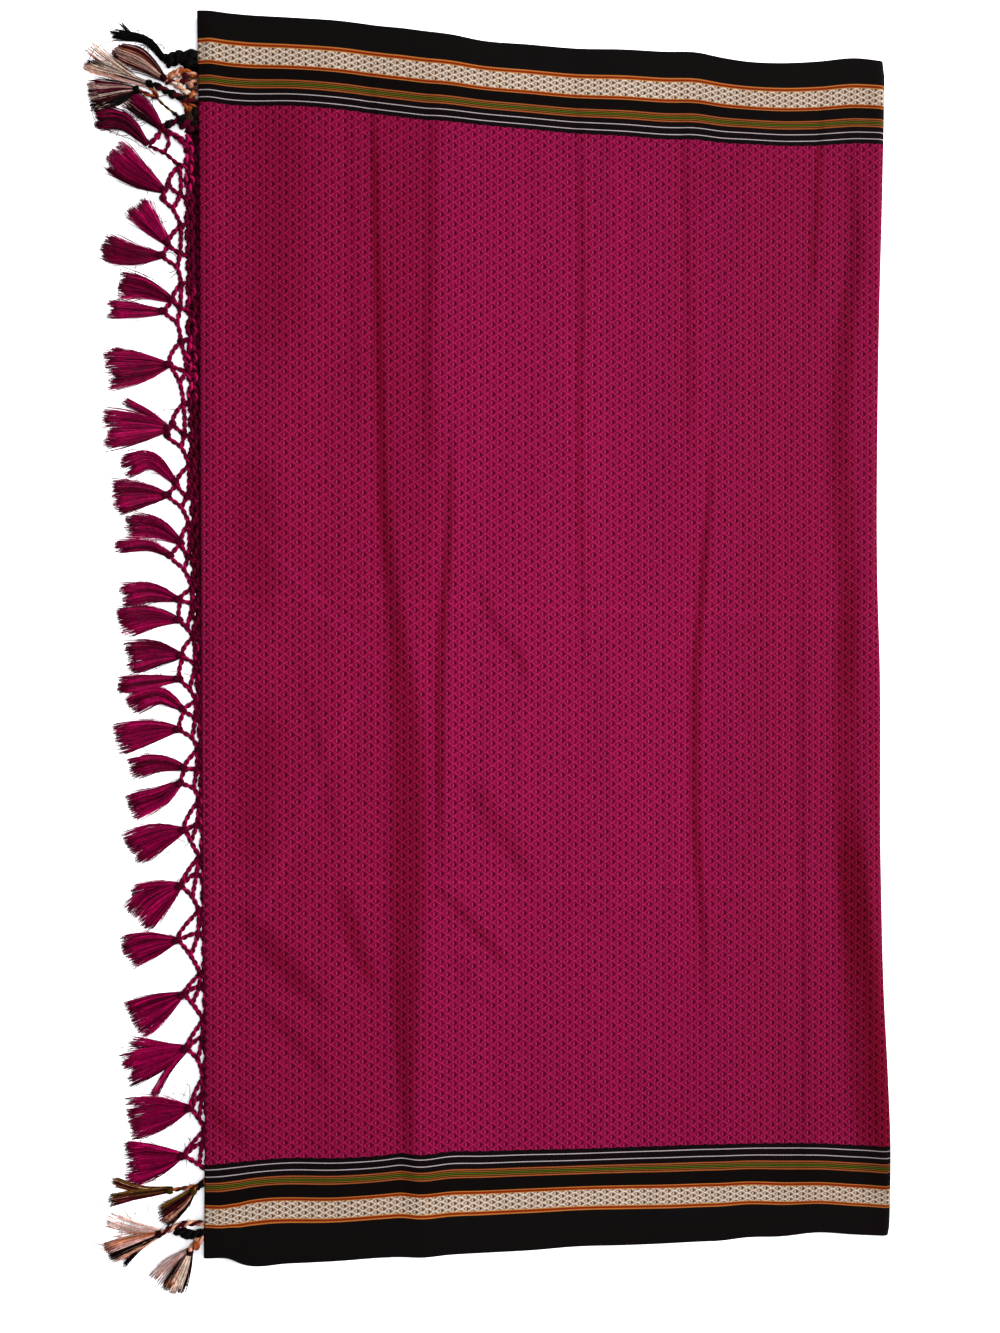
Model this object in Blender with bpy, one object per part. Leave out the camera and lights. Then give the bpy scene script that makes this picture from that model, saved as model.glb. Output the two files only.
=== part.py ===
"""A woven dupatta folded flat into four layers, its knotted fringes out at the left.

Metres, +Z up. The cloth lies on the floor plane with its selvedges along X, the double
fold to the right and the fringed ends to the left. Every table is in millimetres.
"""
import math

import bpy
import bmesh
from mathutils import Matrix, Vector
from mathutils.bvhtree import BVHTree

MM = 0.001

# Where the tables' zero lies from the middle of the finished outline
ORIGIN_X = 3.0
ORIGIN_Y = 0.0

# Cloth: one layer with its weave and nap, and the air left between pieces
CLOTH_WIDTH = 912.0
CLOTH_LOW_EDGE = -450.0
WALL = 1.2
SEAM_GAP = 0.35
STACK_HEIGHT = 7.0
SELVEDGE_HEIGHT = 5.7
SELVEDGE_FALL = 16.0

# The first fold, at the left, lies over the fringed ends; the double fold is at the right
LEFT_FOLD_DEPTH = 3.2
LEFT_RIM_HEIGHT = 3.4
RIGHT_FOLD_DEPTH = 5.0
RIGHT_RIM_HEIGHT = 0.8
RIGHT_ROLL_HEIGHT = 0.9
RIGHT_ROLL_WIDTH = 20.0
FOLD_ANGLES = (0, 30, 60)
FOLD_LIP = 0.1
FOLD_MARGIN = 12.0

# Grid of the cloth: columns between the two folds, rows as shares of the cloth's height
FLAT_COLUMNS = 33
ROW_SHARES = (0, 0.008, 0.02, 0.06, 0.12, 0.18, 0.24, 0.3, 0.36, 0.42, 0.48,
              0.54, 0.6, 0.66, 0.72, 0.78, 0.84, 0.9, 0.95, 0.98, 0.992, 1)

# Selvedges of the top layer
# along, upper selvedge, lower selvedge
SELVEDGES = (
    (-224, 469.0, -443.0),
    (-215, 469.3, -443.7),
    (-199, 468.2, -444.5),
    (-189, 467.8, -449.4),
    (-155, 467.8, -450.5),
    (-120, 467.4, -450.6),
    (-84, 464.9, -449.7),
    (-49, 463.1, -450.4),
    (-13, 458.3, -450.1),
    (24, 457.3, -449.9),
    (60, 456.3, -448.7),
    (97, 457.5, -449.5),
    (153, 458.2, -449.6),
    (172, 455.3, -449.8),
    (191, 453.3, -448.4),
    (219, 453.5, -449.0),
    (248, 456.3, -447.3),
    (277, 460.4, -450.3),
    (308, 458.8, -453.3),
)

# height on the cloth, left fold
LEFT_FOLD = (
    (-450, -217.4),
    (-365, -216.7),
    (-255, -216.7),
    (-145, -218.1),
    (111, -219.6),
    (389, -221.0),
    (470, -222.4),
)

# height on the cloth, right fold
RIGHT_FOLD = (
    (-453, 302.5),
    (-446, 305.6),
    (-430, 306.6),
    (-380, 307.2),
    (-317, 304.8),
    (-255, 301.5),
    (-161, 299.1),
    (-6, 298.6),
    (56, 296.7),
    (181, 296.7),
    (274, 298.3),
    (367, 300.7),
    (440, 302.2),
    (453, 301.8),
    (460, 299.0),
)

# Largest creases and soft rolls in the top layer
# x and y at the upper end, the middle and the lower end, half width, height
CREASES = (
    (-168, 405, -169, 222, -171, 30, 22, -0.7),
    (-92, 425, -80, 20, -63, -390, 20, -0.8),
    (-108, 300, -100, 0, -86, -330, 18, 0.6),
    (-54, 400, -50, 120, -40, -150, 18, -0.6),
    (-20, 390, -8, 60, 0, -300, 26, 0.5),
    (60, 400, 62, 191, 63, -40, 20, -0.4),
    (100, 380, 104, 40, 108, -300, 30, 0.4),
    (144, 370, 149, 40, 153, -275, 20, -0.7),
    (215, 400, 216, 0, 220, -380, 28, 0.5),
    (274, 380, 276, -6, 283, -385, 17, -0.8),
    (-184, 104, -140, 46, -96, -6, 18, 0.6),
)

# Cut edges of the three hidden layers, down from the top one
# recess from the selvedge, share of the height there
LAYER_EDGES = (
    (1.2, 0.92),
    (1.0, 0.71),
    (3.4, 0.67),
    (1.8, 0.62),
    (1.8, 0.39),
    (4.2, 0.35),
    (2.4, 0.30),
    (2.4, 0.00),
)

# The heading is the strip of woven and knotted warp ends that starts both fringes
HEADING_TOP = (-227.0, 440.0)
HEADING_BOTTOM = (-213.0, -441.0)
HEADING_WIDTH = 6.0
HEADING_HEIGHT = 2.3
FLOOR_GAP = 0.35
HEADING_ROUND = 0.6
RECESS_REACH = 40.0
RECESS_PAST_ENDS = 60.0
RECESS_BELOW_FLOOR = 2.0
CORD_RADIUS = 1.0
KNOT_RADIUS = 1.35
SECOND_CORD_THINNER = 0.08
INNER_CORD_THINNER = 0.16
CORD_SLANT_UP = 3.0
CORD_SLANT_DOWN = 4.0
LAST_NET_END = -384.0

# One repeat of the knotted net, tied to the heading
# head knot, first tassel knot, second tassel knot, inner knot, outer meeting point
NET_REPEATS = (
    (-235, 357, -243, 343, -247, 333, -235, 336, -240, 325),
    (-234, 313, -243, 299, -247, 291, -235, 293, -237, 282),
    (-234, 270, -240, 258, -246, 250, -235, 253, -237, 241),
    (-234, 228, -242, 211, -242, 211, -231, 206, -235, 197),
    (-232, 182, -240, 168, -244, 159, -232, 160, -234, 150),
    (-228, 137, -237, 123, -243, 115, -230, 114, -234, 106),
    (-228, 94, -234, 80, -241, 70, -229, 70, -232, 60),
    (-226, 47, -235, 38, -235, 23, -226, 35, -230, 17),
    (-225, 11, -233, -3, -235, -20, -224, -9, -228, -28),
    (-223, -36, -232, -43, -235, -57, -224, -49, -226, -64),
    (-222, -72, -231, -86, -234, -96, -223, -87, -225, -101),
    (-221, -109, -231, -131, -231, -131, -223, -128, -227, -140),
    (-221, -151, -234, -172, -234, -172, -223, -164, -226, -181),
    (-221, -191, -236, -212, -236, -212, -222, -208, -227, -224),
    (-220, -237, -232, -252, -232, -252, -221, -247, -226, -259),
    (-218, -271, -230, -292, -230, -292, -219, -285, -222, -301),
    (-218, -314, -227, -336, -227, -336, -219, -327, -221, -345),
    (-217, -352, -232, -371, -232, -371, -219, -363, -221, -378),
)

# Heavier cords of the border's own warp, at the two ends of the net
# start, middle, end, radius
BORDER_CORDS = (
    (-227, 431, -234, 431, -244, 430, 2.4),
    (-227, 415, -234, 416, -244, 417, 2.1),
    (-227, 402, -239, 406, -254, 414, 1.5),
    (-226, 399, -241, 394, -256, 403, 1.2),
    (-226, 391, -236, 388, -245, 382, 1.5),
    (-245, 382, -251, 375, -257, 370, 1.2),
    (-245, 382, -243, 374, -246, 367, 1.2),
    (-257, 370, -246, 366, -235, 357, 1.2),
    (-245, 382, -233, 375, -227, 363, 1.4),
    (-214, -384, -222, -391, -238, -393, 1.1),
    (-214, -388, -219, -393, -223, -399, 1.1),
    (-214, -421, -229, -419, -244, -424, 1.3),
    (-214, -421, -220, -428, -224, -436, 1.5),
)

# Tassels, tied on beyond a net knot
# knot, middle of the tassel, tip, width of the tip, colour
TASSELS = (
    (-244, 430, -255, 447, -281, 449, 6, "black"),
    (-244, 417, -262, 428, -280, 435, 13, "peach"),
    (-254, 414, -276, 419, -299, 428, 7, "mixed"),
    (-256, 403, -280, 402, -299, 405, 20, "mixed"),
    (-257, 370, -275, 379, -294, 385, 12, "plum"),
    (-245, 382, -256, 388, -266, 393, 8, "plum"),
    (-245, 338, -264, 349, -282, 364, 20, "magenta"),
    (-243, 299, -255, 313, -266, 327, 15, "magenta"),
    (-247, 291, -267, 291, -288, 297, 16, "magenta"),
    (-240, 258, -258, 266, -276, 269, 15, "magenta"),
    (-246, 250, -264, 250, -284, 252, 10, "magenta"),
    (-242, 211, -262, 209, -286, 208, 24, "magenta"),
    (-242, 164, -264, 164, -287, 163, 22, "magenta"),
    (-237, 123, -254, 139, -274, 134, 12, "magenta"),
    (-243, 115, -262, 115, -281, 113, 20, "magenta"),
    (-234, 80, -251, 90, -272, 92, 15, "magenta"),
    (-241, 70, -256, 77, -279, 76, 7, "magenta"),
    (-235, 38, -254, 43, -275, 40, 13, "magenta"),
    (-235, 23, -255, 25, -276, 21, 17, "magenta"),
    (-233, -3, -251, -2, -271, -5, 20, "magenta"),
    (-235, -20, -255, -22, -277, -25, 9, "magenta"),
    (-232, -43, -249, -33, -270, -40, 13, "magenta"),
    (-235, -57, -255, -59, -278, -65, 18, "magenta"),
    (-231, -86, -248, -82, -269, -86, 12, "magenta"),
    (-234, -96, -248, -106, -269, -114, 15, "magenta"),
    (-231, -131, -248, -133, -268, -142, 24, "magenta"),
    (-234, -172, -249, -178, -267, -190, 25, "magenta"),
    (-236, -212, -253, -214, -273, -219, 23, "magenta"),
    (-232, -252, -250, -261, -267, -270, 24, "magenta"),
    (-230, -292, -250, -299, -272, -306, 20, "magenta"),
    (-227, -336, -247, -339, -269, -343, 27, "magenta"),
    (-232, -371, -252, -374, -272, -376, 28, "magenta"),
    (-238, -393, -259, -394, -282, -399, 4, "olive"),
    (-223, -399, -234, -406, -249, -416, 11, "olive"),
    (-244, -424, -262, -430, -282, -437, 17, "peach"),
    (-224, -436, -228, -451, -236, -467, 14, "peach"),
)
TASSEL_HEAD_RADIUS = 2.1
TASSEL_HEAD_REACH = 4.4
LOCK_PITCH = 4.2
FEWEST_LOCKS = 2
MOST_LOCKS = 6
ROOT_PITCH = 0.45
ROOT_RADIUS = 0.9
MIDDLE_SPREAD = 0.58
MIDDLE_LIFT = 0.5
LOCK_FULLNESS = 0.4
MIDDLE_FULLNESS = 0.43
THICKEST_TIP = 1.7
THICKEST_MIDDLE = 1.5
TIP_STAGGER = 1.3
STAGGER_TURN = 2.4
SEATED_GAP = 0.45
SEATING_STEPS = 4
SEATING_REACH = 30.0
EDGE_STEPS = 8

COLOURS = {
    "magenta": (0.30, 0.006, 0.075),
    "plum": (0.13, 0.01, 0.05),
    "black": (0.012, 0.010, 0.011),
    "peach": (0.62, 0.28, 0.17),
    "mixed": (0.34, 0.22, 0.17),
    "olive": (0.22, 0.13, 0.05),
}


def clear_scene():
    """Empty the scene and make the collection for the finished part and its cutters."""
    for thing in list(bpy.data.objects):
        bpy.data.objects.remove(thing, do_unlink=True)
    part = bpy.data.collections.new("dupatta_stole")
    cutters = bpy.data.collections.new("cutters")
    bpy.context.scene.collection.children.link(part)
    bpy.context.scene.collection.children.link(cutters)
    return part, cutters


def material(name, colour, roughness=0.85):
    """A plain cloth material."""
    found = bpy.data.materials.get(name)
    if found:
        return found
    made = bpy.data.materials.new(name)
    made.use_nodes = True
    shader = made.node_tree.nodes["Principled BSDF"]
    shader.inputs["Base Color"].default_value = (*colour, 1.0)
    shader.inputs["Roughness"].default_value = roughness
    return made


def place(x, y, z):
    """A point of the tables, in metres, in the part's own frame."""
    return Vector(((x - ORIGIN_X) * MM, (y - ORIGIN_Y) * MM, z * MM))


def add_object(name, mesh, collection, cloth):
    """Link a mesh as one named piece."""
    made = bpy.data.objects.new(name, mesh)
    mesh.materials.append(cloth)
    collection.objects.link(made)
    return made


def from_table(rows, at, column=1):
    """Read a table by straight steps between its rows."""
    if at <= rows[0][0]:
        return rows[0][column]
    for low, high in zip(rows, rows[1:]):
        if at <= high[0]:
            share = (at - low[0]) / (high[0] - low[0])
            return low[column] + (high[column] - low[column]) * share
    return rows[-1][column]


def smooth(share):
    """Ease from 0 to 1."""
    share = min(1.0, max(0.0, share))
    return share * share * (3.0 - 2.0 * share)


def crease_height(x, y):
    """Sum of the creases at one point of the top layer."""
    total = 0.0
    for x_up, y_up, x_mid, y_mid, x_low, y_low, half_width, height in CREASES:
        if y >= y_mid:
            share = (y - y_mid) / (y_up - y_mid)
            centre = x_mid + (x_up - x_mid) * share
        else:
            share = (y_mid - y) / (y_mid - y_low)
            centre = x_mid + (x_low - x_mid) * share
        away = abs(x - centre) / half_width
        if away < 1.0:
            end = 1.0 - smooth((share - 0.8) / 0.3)
            total += height * end * math.cos(away * math.pi / 2.0) ** 2
    return total


def top_height(x, y, upper, lower, left, right):
    """Height of the top layer's outer face: full inside, thinner towards the selvedges."""
    inside = min(upper - y, y - lower)
    rise = smooth(inside / SELVEDGE_FALL)
    height = SELVEDGE_HEIGHT + (STACK_HEIGHT - SELVEDGE_HEIGHT) * rise
    from_folds = smooth(min(x - left, right - x) / FOLD_MARGIN)
    roll = 1.0 - smooth((right - x) / RIGHT_ROLL_WIDTH)
    return height + crease_height(x, y) * rise * from_folds + RIGHT_ROLL_HEIGHT * roll * rise


def shell_rows(offset):
    """Columns of points on the top layer, moved in from its outer face by the offset.

    Each column runs from the lower selvedge to the upper one. The first columns go up
    round the left fold and the last go down round the right fold.
    """
    columns = []
    steps = [("left", None)] + [("left", angle) for angle in FOLD_ANGLES]
    steps += [("flat", index / (FLAT_COLUMNS - 1)) for index in range(FLAT_COLUMNS)]
    steps += [("right", angle) for angle in reversed(FOLD_ANGLES)] + [("right", None)]
    for zone, value in steps:
        column = []
        for share in ROW_SHARES:
            column.append(shell_point(zone, value, share, offset))
        columns.append(column)
    return columns


def shell_point(zone, value, share, offset):
    """One point of the folded layer."""
    guess = CLOTH_LOW_EDGE + CLOTH_WIDTH * share
    left = from_table(LEFT_FOLD, guess)
    right = from_table(RIGHT_FOLD, guess)
    start = left + LEFT_FOLD_DEPTH
    end = right - RIGHT_FOLD_DEPTH
    if zone == "flat":
        x = start + (end - start) * value
    elif zone == "left":
        x = start
    else:
        x = end
    upper = from_table(SELVEDGES, x, 1)
    lower = from_table(SELVEDGES, x, 2)
    y = lower + (upper - lower) * share
    height = top_height(x, y, upper, lower, left, right)
    if zone == "flat":
        return place(x, y, height - offset)
    rim = LEFT_RIM_HEIGHT if zone == "left" else RIGHT_RIM_HEIGHT
    deep = LEFT_FOLD_DEPTH if zone == "left" else RIGHT_FOLD_DEPTH
    tall = height - rim - FOLD_LIP
    angle = math.radians(value or 0.0)
    out = (deep - offset) * math.cos(angle)
    z = rim if value is None else rim + FOLD_LIP + (tall - offset) * math.sin(angle)
    side = -1.0 if zone == "left" else 1.0
    return place(x + side * out, y, z)


def grid_faces(shape, grid, flip=False):
    """Quads between neighbouring columns of vertices."""
    for near, far in zip(grid, grid[1:]):
        for row in range(len(near) - 1):
            corners = [near[row], far[row], far[row + 1], near[row + 1]]
            if flip:
                corners.reverse()
            shape.faces.new(corners)


def make_top_layer(collection):
    """The stretch of cloth on top, turned down round both folds."""
    shape = bmesh.new()
    outer = [[shape.verts.new(p) for p in column] for column in shell_rows(0.0)]
    inner = [[shape.verts.new(p) for p in column] for column in shell_rows(WALL)]
    grid_faces(shape, outer)
    grid_faces(shape, inner, flip=True)
    for row in (0, -1):
        edge = [[column[row] for column in outer], [column[row] for column in inner]]
        grid_faces(shape, edge, flip=(row == 0))
    for side in (0, -1):
        grid_faces(shape, [outer[side], inner[side]], flip=(side == -1))
    bmesh.ops.recalc_face_normals(shape, faces=shape.faces)
    mesh = bpy.data.meshes.new("top_layer")
    shape.to_mesh(mesh)
    shape.free()
    return add_object("top_layer", mesh, collection, material("magenta_weave", COLOURS["magenta"]))


def selvedge_steps(edge_point, towards, top_z):
    """Layered edge under one point of the upper face, down to the floor."""
    steps = []
    for recess, share in LAYER_EDGES:
        steps.append(Vector((edge_point.x, edge_point.y + towards * recess * MM, top_z * share)))
    return steps


def make_hidden_layers(collection, cutters):
    """The three layers underneath as one body: layered selvedges and a flat underside."""
    shape = bmesh.new()
    columns = shell_rows(WALL + SEAM_GAP)[1:-1]
    inset = (LAYER_EDGES[0][0] - 0.5) * MM
    grid = []
    for column in columns:
        lower, upper = column[0].copy(), column[-1].copy()
        lower.y += inset
        upper.y -= inset
        upward = selvedge_steps(lower, 1.0, lower.z)
        downward = selvedge_steps(upper, -1.0, upper.z)
        line = list(reversed(upward)) + [lower] + column[1:-1] + [upper] + downward
        grid.append([shape.verts.new(p) for p in line])
    grid_faces(shape, grid)
    for side in (0, -1):
        close_end(shape, grid[side])
    floor = [e for e in shape.edges if e.is_boundary]
    bmesh.ops.holes_fill(shape, edges=floor, sides=0)
    bmesh.ops.recalc_face_normals(shape, faces=shape.faces)
    mesh = bpy.data.meshes.new("hidden_layers")
    shape.to_mesh(mesh)
    shape.free()
    body = add_object("hidden_layers", mesh, collection,
                      material("black_border", COLOURS["black"]))
    recess = heading_recess(cutters)
    cut(body, recess, "DIFFERENCE")
    return body


def close_end(shape, line):
    """Wall off the end of the layers under a fold, down to the floor."""
    steps = len(LAYER_EDGES)
    top = line[steps + 1:-steps - 1]
    foot = [shape.verts.new((vertex.co.x, vertex.co.y, 0.0)) for vertex in top]
    grid_faces(shape, [foot, top])
    shape.faces.new(line[:steps + 2] + [foot[0]])
    shape.faces.new([foot[-1]] + line[-steps - 2:])


def heading_recess(cutters):
    """Space under the first fold that the headings of both fringes lie in."""
    half = HEADING_WIDTH / 2.0 + SEAM_GAP
    top, bottom = HEADING_TOP, HEADING_BOTTOM
    slope = (top[0] - bottom[0]) / (top[1] - bottom[1])
    shape = bmesh.new()
    lower, upper = [], []
    for x_side in (half, -RECESS_REACH):
        for y in (bottom[1] - RECESS_PAST_ENDS, top[1] + RECESS_PAST_ENDS):
            x = bottom[0] + slope * (y - bottom[1]) + x_side
            lower.append(shape.verts.new(place(x, y, -RECESS_BELOW_FLOOR)))
            upper.append(shape.verts.new(place(x, y, LEFT_RIM_HEIGHT)))
    order = (0, 1, 3, 2)
    shape.faces.new([lower[i] for i in order])
    shape.faces.new([upper[i] for i in reversed(order)])
    for a, b in zip(order, order[1:] + order[:1]):
        shape.faces.new((lower[b], lower[a], upper[a], upper[b]))
    bmesh.ops.recalc_face_normals(shape, faces=shape.faces)
    mesh = bpy.data.meshes.new("heading_recess")
    shape.to_mesh(mesh)
    shape.free()
    cutter = bpy.data.objects.new("heading_recess", mesh)
    cutters.objects.link(cutter)
    cutter.hide_render = True
    cutter.display_type = "WIRE"
    return cutter


def cut(body, other, operation, fuse_self=False):
    """Boolean with the exact solver, applied."""
    step = body.modifiers.new(operation.lower(), "BOOLEAN")
    step.object = other
    step.operation = operation
    step.solver = "EXACT"
    step.use_self = fuse_self
    graph = bpy.context.evaluated_depsgraph_get()
    mesh = bpy.data.meshes.new_from_object(body.evaluated_get(graph))
    body.modifiers.clear()
    old = body.data
    name = old.name
    body.data = mesh
    bpy.data.meshes.remove(old)
    mesh.name = name


def cords_mesh(name, splines, sides_step=0):
    """Tubes along short lines, each point with its own radius, as one mesh."""
    curve = bpy.data.curves.new(name, "CURVE")
    curve.dimensions = "3D"
    curve.bevel_depth = MM
    curve.bevel_resolution = sides_step
    curve.use_fill_caps = True
    for points in splines:
        spline = curve.splines.new("POLY")
        spline.points.add(len(points) - 1)
        for slot, (x, y, z, radius) in zip(spline.points, points):
            slot.co = (*place(x, y, z), 1.0)
            slot.radius = radius
    holder = bpy.data.objects.new(name, curve)
    bpy.context.scene.collection.objects.link(holder)
    graph = bpy.context.evaluated_depsgraph_get()
    mesh = bpy.data.meshes.new_from_object(holder.evaluated_get(graph))
    shape = bmesh.new()
    shape.from_mesh(mesh)
    bmesh.ops.remove_doubles(shape, verts=shape.verts, dist=0.00001)
    bmesh.ops.recalc_face_normals(shape, faces=shape.faces)
    shape.to_mesh(mesh)
    shape.free()
    bpy.data.objects.remove(holder, do_unlink=True)
    bpy.data.curves.remove(curve)
    mesh.name = name
    return mesh


def ball_mesh(name, centres):
    """Small round knots, one for each centre and radius."""
    shape = bmesh.new()
    for x, y, z, radius in centres:
        made = bmesh.ops.create_icosphere(shape, subdivisions=1, radius=radius * MM)
        bmesh.ops.translate(shape, verts=made["verts"], vec=place(x, y, z))
    mesh = bpy.data.meshes.new(name)
    shape.to_mesh(mesh)
    shape.free()
    return mesh


def heading_mesh():
    """The heading strip, with its long edges rounded."""
    shape = bmesh.new()
    made = bmesh.ops.create_cube(shape, size=1.0)
    length = math.dist(HEADING_TOP, HEADING_BOTTOM)
    size = Vector((HEADING_WIDTH, length, HEADING_HEIGHT)) * MM
    bmesh.ops.scale(shape, vec=size, verts=made["verts"])
    long_edges = [e for e in shape.edges if abs(e.verts[0].co.y - e.verts[1].co.y) > 0.1]
    rounding = HEADING_ROUND * MM
    bmesh.ops.bevel(shape, geom=long_edges, offset=rounding, segments=1, affect="EDGES")
    run = Vector(HEADING_TOP) - Vector(HEADING_BOTTOM)
    middle = (Vector(HEADING_TOP) + Vector(HEADING_BOTTOM)) / 2.0
    turn = math.atan2(-run.x, run.y)
    for vertex in shape.verts:
        x, y = vertex.co.x, vertex.co.y
        vertex.co.x = x * math.cos(turn) - y * math.sin(turn)
        vertex.co.y = x * math.sin(turn) + y * math.cos(turn)
    shift = place(middle.x, middle.y, FLOOR_GAP + HEADING_HEIGHT / 2.0)
    bmesh.ops.translate(shape, verts=shape.verts, vec=shift)
    mesh = bpy.data.meshes.new("fringe_net")
    shape.to_mesh(mesh)
    shape.free()
    return mesh


def heading_x(y):
    """The heading's centre line."""
    share = (y - HEADING_BOTTOM[1]) / (HEADING_TOP[1] - HEADING_BOTTOM[1])
    return HEADING_BOTTOM[0] + (HEADING_TOP[0] - HEADING_BOTTOM[0]) * share


def net_lines():
    """Centre lines of every cord of the net, each thicker where it is knotted."""
    lines = []

    def line(thinner, knots, *pairs):
        points = []
        for index, (x, y) in enumerate(pairs):
            radius = (KNOT_RADIUS if index in knots else CORD_RADIUS) - thinner
            points.append((x, y, FLOOR_GAP + KNOT_RADIUS, radius))
        lines.append(points)

    heads = [(row[0], row[1]) for row in NET_REPEATS[1:]]
    heads.append((heading_x(LAST_NET_END), LAST_NET_END))
    for row, following in zip(NET_REPEATS, heads):
        head, first, second, inner, outer = [row[i:i + 2] for i in range(0, 10, 2)]
        start, end = head[1] + CORD_SLANT_UP, inner[1] - CORD_SLANT_DOWN
        line(0.0, (1, 2), (heading_x(start), start), head, first, inner, (heading_x(end), end))
        if first != second:
            line(SECOND_CORD_THINNER, (0, 1), first, second, outer, following)
        else:
            line(SECOND_CORD_THINNER, (0,), first, outer, following)
        line(INNER_CORD_THINNER, (), head, inner, outer)
    for x0, y0, x1, y1, x2, y2, radius in BORDER_CORDS:
        centre = FLOOR_GAP + radius
        lines.append([(x0, y0, centre, radius), (x1, y1, centre, radius),
                      (x2, y2, centre, radius)])
    return lines


def make_net(collection):
    """Both knotted nets as one lace, fused to the heading."""
    net = add_object("fringe_net", heading_mesh(), collection,
                     material("plum_cord", COLOURS["plum"]))
    fuse(net, cords_mesh("cords", net_lines()))
    return net


def fuse(body, shells):
    """Union of a body with loose shells that run into each other."""
    tool = bpy.data.objects.new("shells", shells)
    bpy.context.scene.collection.objects.link(tool)
    cut(body, tool, "UNION", fuse_self=True)
    bpy.data.objects.remove(tool, do_unlink=True)


def tassel_locks(row):
    """Centre lines of a tassel's locks, from its head to the spread tips."""
    knot, middle, tip = Vector(row[0:2]), Vector(row[2:4]), Vector(row[4:6])
    width = row[6]
    count = max(FEWEST_LOCKS, min(MOST_LOCKS, round(width / LOCK_PITCH)))
    out = (middle - knot).normalized()
    head = knot + out * TASSEL_HEAD_REACH
    across = (tip - middle).normalized()
    across = Vector((-across.y, across.x))
    root_across = Vector((-out.y, out.x))
    pitch = width / count
    tip_radius = min(THICKEST_TIP, pitch * LOCK_FULLNESS)
    middle_radius = min(THICKEST_MIDDLE, pitch * MIDDLE_SPREAD * MIDDLE_FULLNESS)
    lines = []
    for index in range(count):
        place_across = index - (count - 1) / 2.0
        stagger = TIP_STAGGER * math.sin(STAGGER_TURN * index + width)
        root = head + root_across * place_across * ROOT_PITCH
        bend = middle + across * place_across * pitch * MIDDLE_SPREAD
        end = tip + across * place_across * pitch + (tip - middle).normalized() * stagger
        lines.append([
            (root.x, root.y, FLOOR_GAP + TASSEL_HEAD_RADIUS, ROOT_RADIUS),
            (bend.x, bend.y, FLOOR_GAP + middle_radius + MIDDLE_LIFT, middle_radius),
            (end.x, end.y, FLOOR_GAP + tip_radius, tip_radius),
        ])
    return head, lines


def surface(body):
    """A search tree of a piece's faces, and points along its edges."""
    corners = [vertex.co.copy() for vertex in body.data.vertices]
    faces = [tuple(face.vertices) for face in body.data.polygons]
    points = list(corners)
    for edge in body.data.edges:
        start, end = (corners[index] for index in edge.vertices)
        points += [start.lerp(end, share / EDGE_STEPS) for share in range(1, EDGE_STEPS)]
    return BVHTree.FromPolygons(corners, faces), points


def seat(body, net_tree, net_points, towards):
    """Slide a tassel along its own line until its head lies one seam gap from the net."""
    for _ in range(SEATING_STEPS):
        tree, points = surface(body)
        near = [p for p in net_points if (p - points[0]).length < SEATING_REACH * MM]
        gap = min(net_tree.find_nearest(p)[3] for p in points)
        gap = min([gap] + [tree.find_nearest(p)[3] for p in near])
        body.data.transform(Matrix.Translation(towards * (gap - SEATED_GAP * MM)))


def make_tassels(collection, net):
    """Each tassel: a bound head with its locks fused in, apart from there on."""
    net_tree, net_points = surface(net)
    for number, row in enumerate(TASSELS, start=1):
        name = f"tassel_{number:02d}"
        head, lines = tassel_locks(row)
        ball = ball_mesh(name, [(head.x, head.y, FLOOR_GAP + TASSEL_HEAD_RADIUS,
                                 TASSEL_HEAD_RADIUS)])
        body = add_object(name, ball, collection, material(f"{row[7]}_thread", COLOURS[row[7]]))
        fuse(body, cords_mesh("locks", lines))
        towards = Vector((row[0] - head.x, row[1] - head.y, 0.0)).normalized()
        seat(body, net_tree, net_points, towards)


def build():
    """Make every piece."""
    part, cutters = clear_scene()
    make_top_layer(part)
    make_hidden_layers(part, cutters)
    net = make_net(part)
    make_tassels(part, net)


build()
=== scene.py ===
"""The looks of a woven dupatta, folded flat into four layers with its tasselled fringes out.

Every size is in millimetres and turned to metres by MM or place(). The tables share the zero
of the part's own source, which lies ORIGIN_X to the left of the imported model's middle.
"""
import math

import bpy
import numpy as np
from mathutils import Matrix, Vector


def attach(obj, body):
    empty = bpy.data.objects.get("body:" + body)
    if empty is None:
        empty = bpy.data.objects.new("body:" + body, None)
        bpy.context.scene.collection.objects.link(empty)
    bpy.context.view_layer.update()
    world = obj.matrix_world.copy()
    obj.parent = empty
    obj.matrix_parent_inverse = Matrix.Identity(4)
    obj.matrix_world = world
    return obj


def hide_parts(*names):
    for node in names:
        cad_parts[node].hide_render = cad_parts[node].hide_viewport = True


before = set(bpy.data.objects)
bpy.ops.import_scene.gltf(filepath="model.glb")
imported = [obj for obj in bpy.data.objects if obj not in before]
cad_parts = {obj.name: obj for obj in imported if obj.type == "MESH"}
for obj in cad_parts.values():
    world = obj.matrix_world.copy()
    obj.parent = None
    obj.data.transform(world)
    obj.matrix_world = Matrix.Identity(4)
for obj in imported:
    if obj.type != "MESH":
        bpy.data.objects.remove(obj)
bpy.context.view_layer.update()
bpy.ops.object.select_all(action="DESELECT")

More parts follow.
